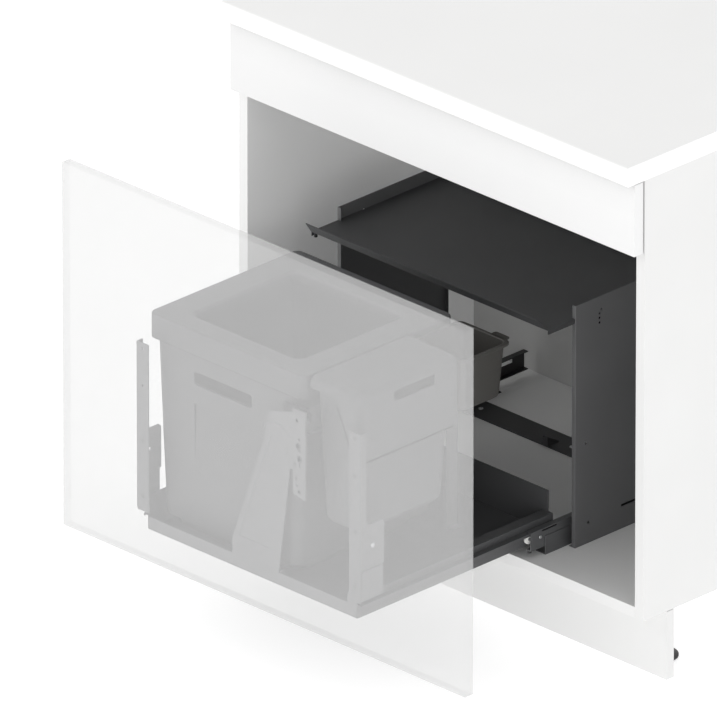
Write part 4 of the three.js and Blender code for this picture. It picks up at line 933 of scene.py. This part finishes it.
def make_screws():
    """Screws of the floor strip, of the floor brackets and of the frame's side plates."""
    x0, x1, y0, y1, z0, _ = span("floor_strip")
    heads("strip_screws", "cabinet", "zinc_steel",
          [((x, (y0 + y1) / 2, z0 + STRIP_SHEET), UP) for x in (x0 + 22, x1 - 22, (x0 + x1) / 2)])
    for side, sign in (("left", -1), ("right", 1)):
        x0, x1, _, y1, z0, _ = span(f"floor_bracket_{side}")
        inner = (x0 if sign > 0 else x1) + sign * 5
        heads("bracket_screws", "cabinet", "zinc_steel",
              [((inner, y1 - 24, z0 + FOOT_SHEET), UP)], f"_{side}")
        x0, x1, y0, y1, z0, _ = span(f"frame_side_{side}")
        inner = (x0 if sign > 0 else x1) + sign * 5.6
        heads("frame_screws", "cabinet", "zinc_steel",
              [((inner, y, z0 + FOOT_SHEET), UP) for y in (y0 + 30, y1 - 30)], f"_{side}")


# ---------------------------------------------------------------- openings and adjusters
PANEL_SHEET = 1.5
PANEL_GROUP = (54, 394.5)  # lowest hole of the group: behind the front edge, above the cabinet's underside
PANEL_GROUP_REACH = (-5, 10, -5, 28)  # of the sheet of painted shade round that hole: front, rear, down, up
PANEL_SLOT = (104, 150, 57.5, 61.5)  # start and end behind the front edge, lower and upper edge as above
PANEL_SLOT_MARGIN = 3
RAIL_SLOT = (25, 59, 5.0, 2.2)  # start and end behind the rail's front, lower and upper edge below its top
RAIL_RIVET = (22, 13.4)  # behind the rail's front, below its top


def shade_behind(name, slot, low, high):
    """A thin near-black sheet behind an opening, painted shade, as a box between two corners."""
    obj = piece_of(name, box_mesh(low[0], high[0], low[1], high[1], low[2], high[2]))
    obj.data.materials.append(PAINTED_SHADE_MATERIAL)
    link(bevel(obj, 0.1, 1), "cabinet", slot)


def make_openings():
    """Sheets of painted shade behind the openings of the right panel and of the right rail, and the rail's
    rivet.
    """
    _, x1, y0, _, _, _ = span("frame_side_right")
    base = span("bottom_panel")[4]
    near, far = x1 - PANEL_SHEET - 0.4, x1 - PANEL_SHEET - 1.3
    y, z = y0 + PANEL_GROUP[0], base + PANEL_GROUP[1]
    front, rear, down, up = PANEL_GROUP_REACH
    shade_behind("panel_group_backing", "anthracite_steel", (far, y + front, z + down), (near, y + rear, z + up))
    start, end, low, high = PANEL_SLOT
    margin = PANEL_SLOT_MARGIN
    shade_behind("panel_slot_backing", "anthracite_steel", (far, y0 + start - margin, base + low - margin),
            (near, y0 + end + margin, base + high + margin))
    _, x1, y0, _, _, z1 = span("cabinet_rail_right")
    start, end, low, high = RAIL_SLOT
    shade_behind("rail_slot_backing", "runner_steel", (x1 - 2.3, y0 + start - 1, z1 - low - 0.6),
            (x1 - 1.7, y0 + end + 1, z1 - high + 0.3))
    along, down = RAIL_RIVET
    heads("rail_rivet", "cabinet", "zinc_steel", [((x1, y0 + along, z1 - down), RIGHT)])


CAMS = ((-2, 62), (1, 84))  # right of the fixing plate's middle, below its upper edge
PINS = ((-4, 20), (-9, 95))  # the same
LOW_PINS = ((-6, 34), (0, 12))  # right of the middle, above the lower edge


def make_adjusters():
    """Cams and pins on the fixing plate, the rivet, and black discs over the brackets' flange holes: painted
    shade in the holes.
    """
    x0, x1, y0, _, z0, z1 = span("fixing_plate")
    middle, y = (x0 + x1) / 2, y0 - 0.01
    heads("plate_cams", "drawer", "bracket_steel", [((middle + x, y, z1 - z), FRONT) for x, z in CAMS])
    pins = [(middle + x, y, z1 - z) for x, z in PINS] + [(middle + x, y, z0 + z) for x, z in LOW_PINS]
    heads("plate_pins", "drawer", "black_plastic", [(pin, FRONT) for pin in pins])
    _, x1, y0, _, z0, _ = span("door_bracket_right")
    left, right = span("door_bracket_left")[0] + BRACKET_SIDE, x1 - BRACKET_SIDE
    along, rise = BRACKET_HOLE
    heads("bracket_rivet", "drawer", "zinc_steel", [((right, y0 + along, z0 + rise), RIGHT)])
    # Black discs over the flanges' holes: painted shade in the holes.
    half = BRACKET_FLANGE[0] / 2
    spots = [(right - half, up) for up in BRACKET_HOLES] + [(left + half, up) for up in BRACKET_HOLES[:2]]
    heads("bracket_hole_backings", "drawer", "black_plastic",
          [((x, y0 + 0.05, z0 + up), FRONT) for x, up in spots])


ARM_ARC = (9, 425, 27, 17)  # middle, lower height, half width and rise of the arm's embossed arc
ARC_SECTION = ((-1.6, -0.3), (-0.8, 0.6), (0.8, 0.6), (1.6, -0.3))  # (across the arc, out of the arm)
ARC_STEPS = 24


def make_arm_arc():
    y = span("centre_arm")[2]
    middle, low, half, rise = ARM_ARC
    rings = []
    for step in range(ARC_STEPS + 1):
        angle = math.pi * (0.02 + 0.96 * step / ARC_STEPS)
        centre = Vector((middle - half * math.cos(angle), y, low + rise * math.sin(angle)))
        out = Vector((-math.cos(angle), 0, math.sin(angle)))
        rings.append([tuple(centre + out * across + Vector(FRONT) * up) for across, up in ARC_SECTION])
    link(moulding("arm_arc", skin(rings)), "drawer", "bracket_steel")


make_camera()
make_studio()
make_bag_frame()
make_big_bin()
make_hood()
make_front_bin()
make_rear_bin()
make_tray()
make_bracket("left")
make_bracket("right")
make_door()
for place in ("front", "rear"):
    for hand in ("left", "right"):
        make_roller(f"{place}_roller_{hand}")
        make_foot(f"{place}_{hand}")
make_screws()
make_openings()
make_adjusters()
make_arm_arc()


# ---------------------------------------------------------------- CAD nodes that stay, with their finishes
EDGE_WIDTH = {"white_board": 0.5, "white_front": 1.2, "worktop_white": 0.8, "plinth_white": 0.6,
              "anthracite_steel": 0.35, "tray_steel": 0.4, "bracket_steel": 0.4, "runner_steel": 0.35,
              "zinc_steel": 0.4, "black_plastic": 0.6}
OWN_EDGE = {"frame_side_left": 1.1, "frame_side_right": 1.1, "frame_shelf": 0.7}  # folds that catch light
WELD_WITHIN = 0.00001


def dress_nodes():
    finishes = {entry["node"]: entry["material_slot"] for entry in frame["record"]["subparts"]}
    for name, obj in frame["nodes"].items():
        slot = finishes[name]
        for entry in obj.material_slots:
            # the lighter and darker copies carry painted light and painted shade
            entry.material = LIT_AND_SHADED_FINISH.get(name, MATERIALS[slot])
        if obj.hide_render or slot not in EDGE_WIDTH:
            continue
        weld = obj.modifiers.new("weld", "WELD")
        weld.merge_threshold = WELD_WITHIN
        bevel(obj, OWN_EDGE.get(name, EDGE_WIDTH[slot]))


dress_nodes()
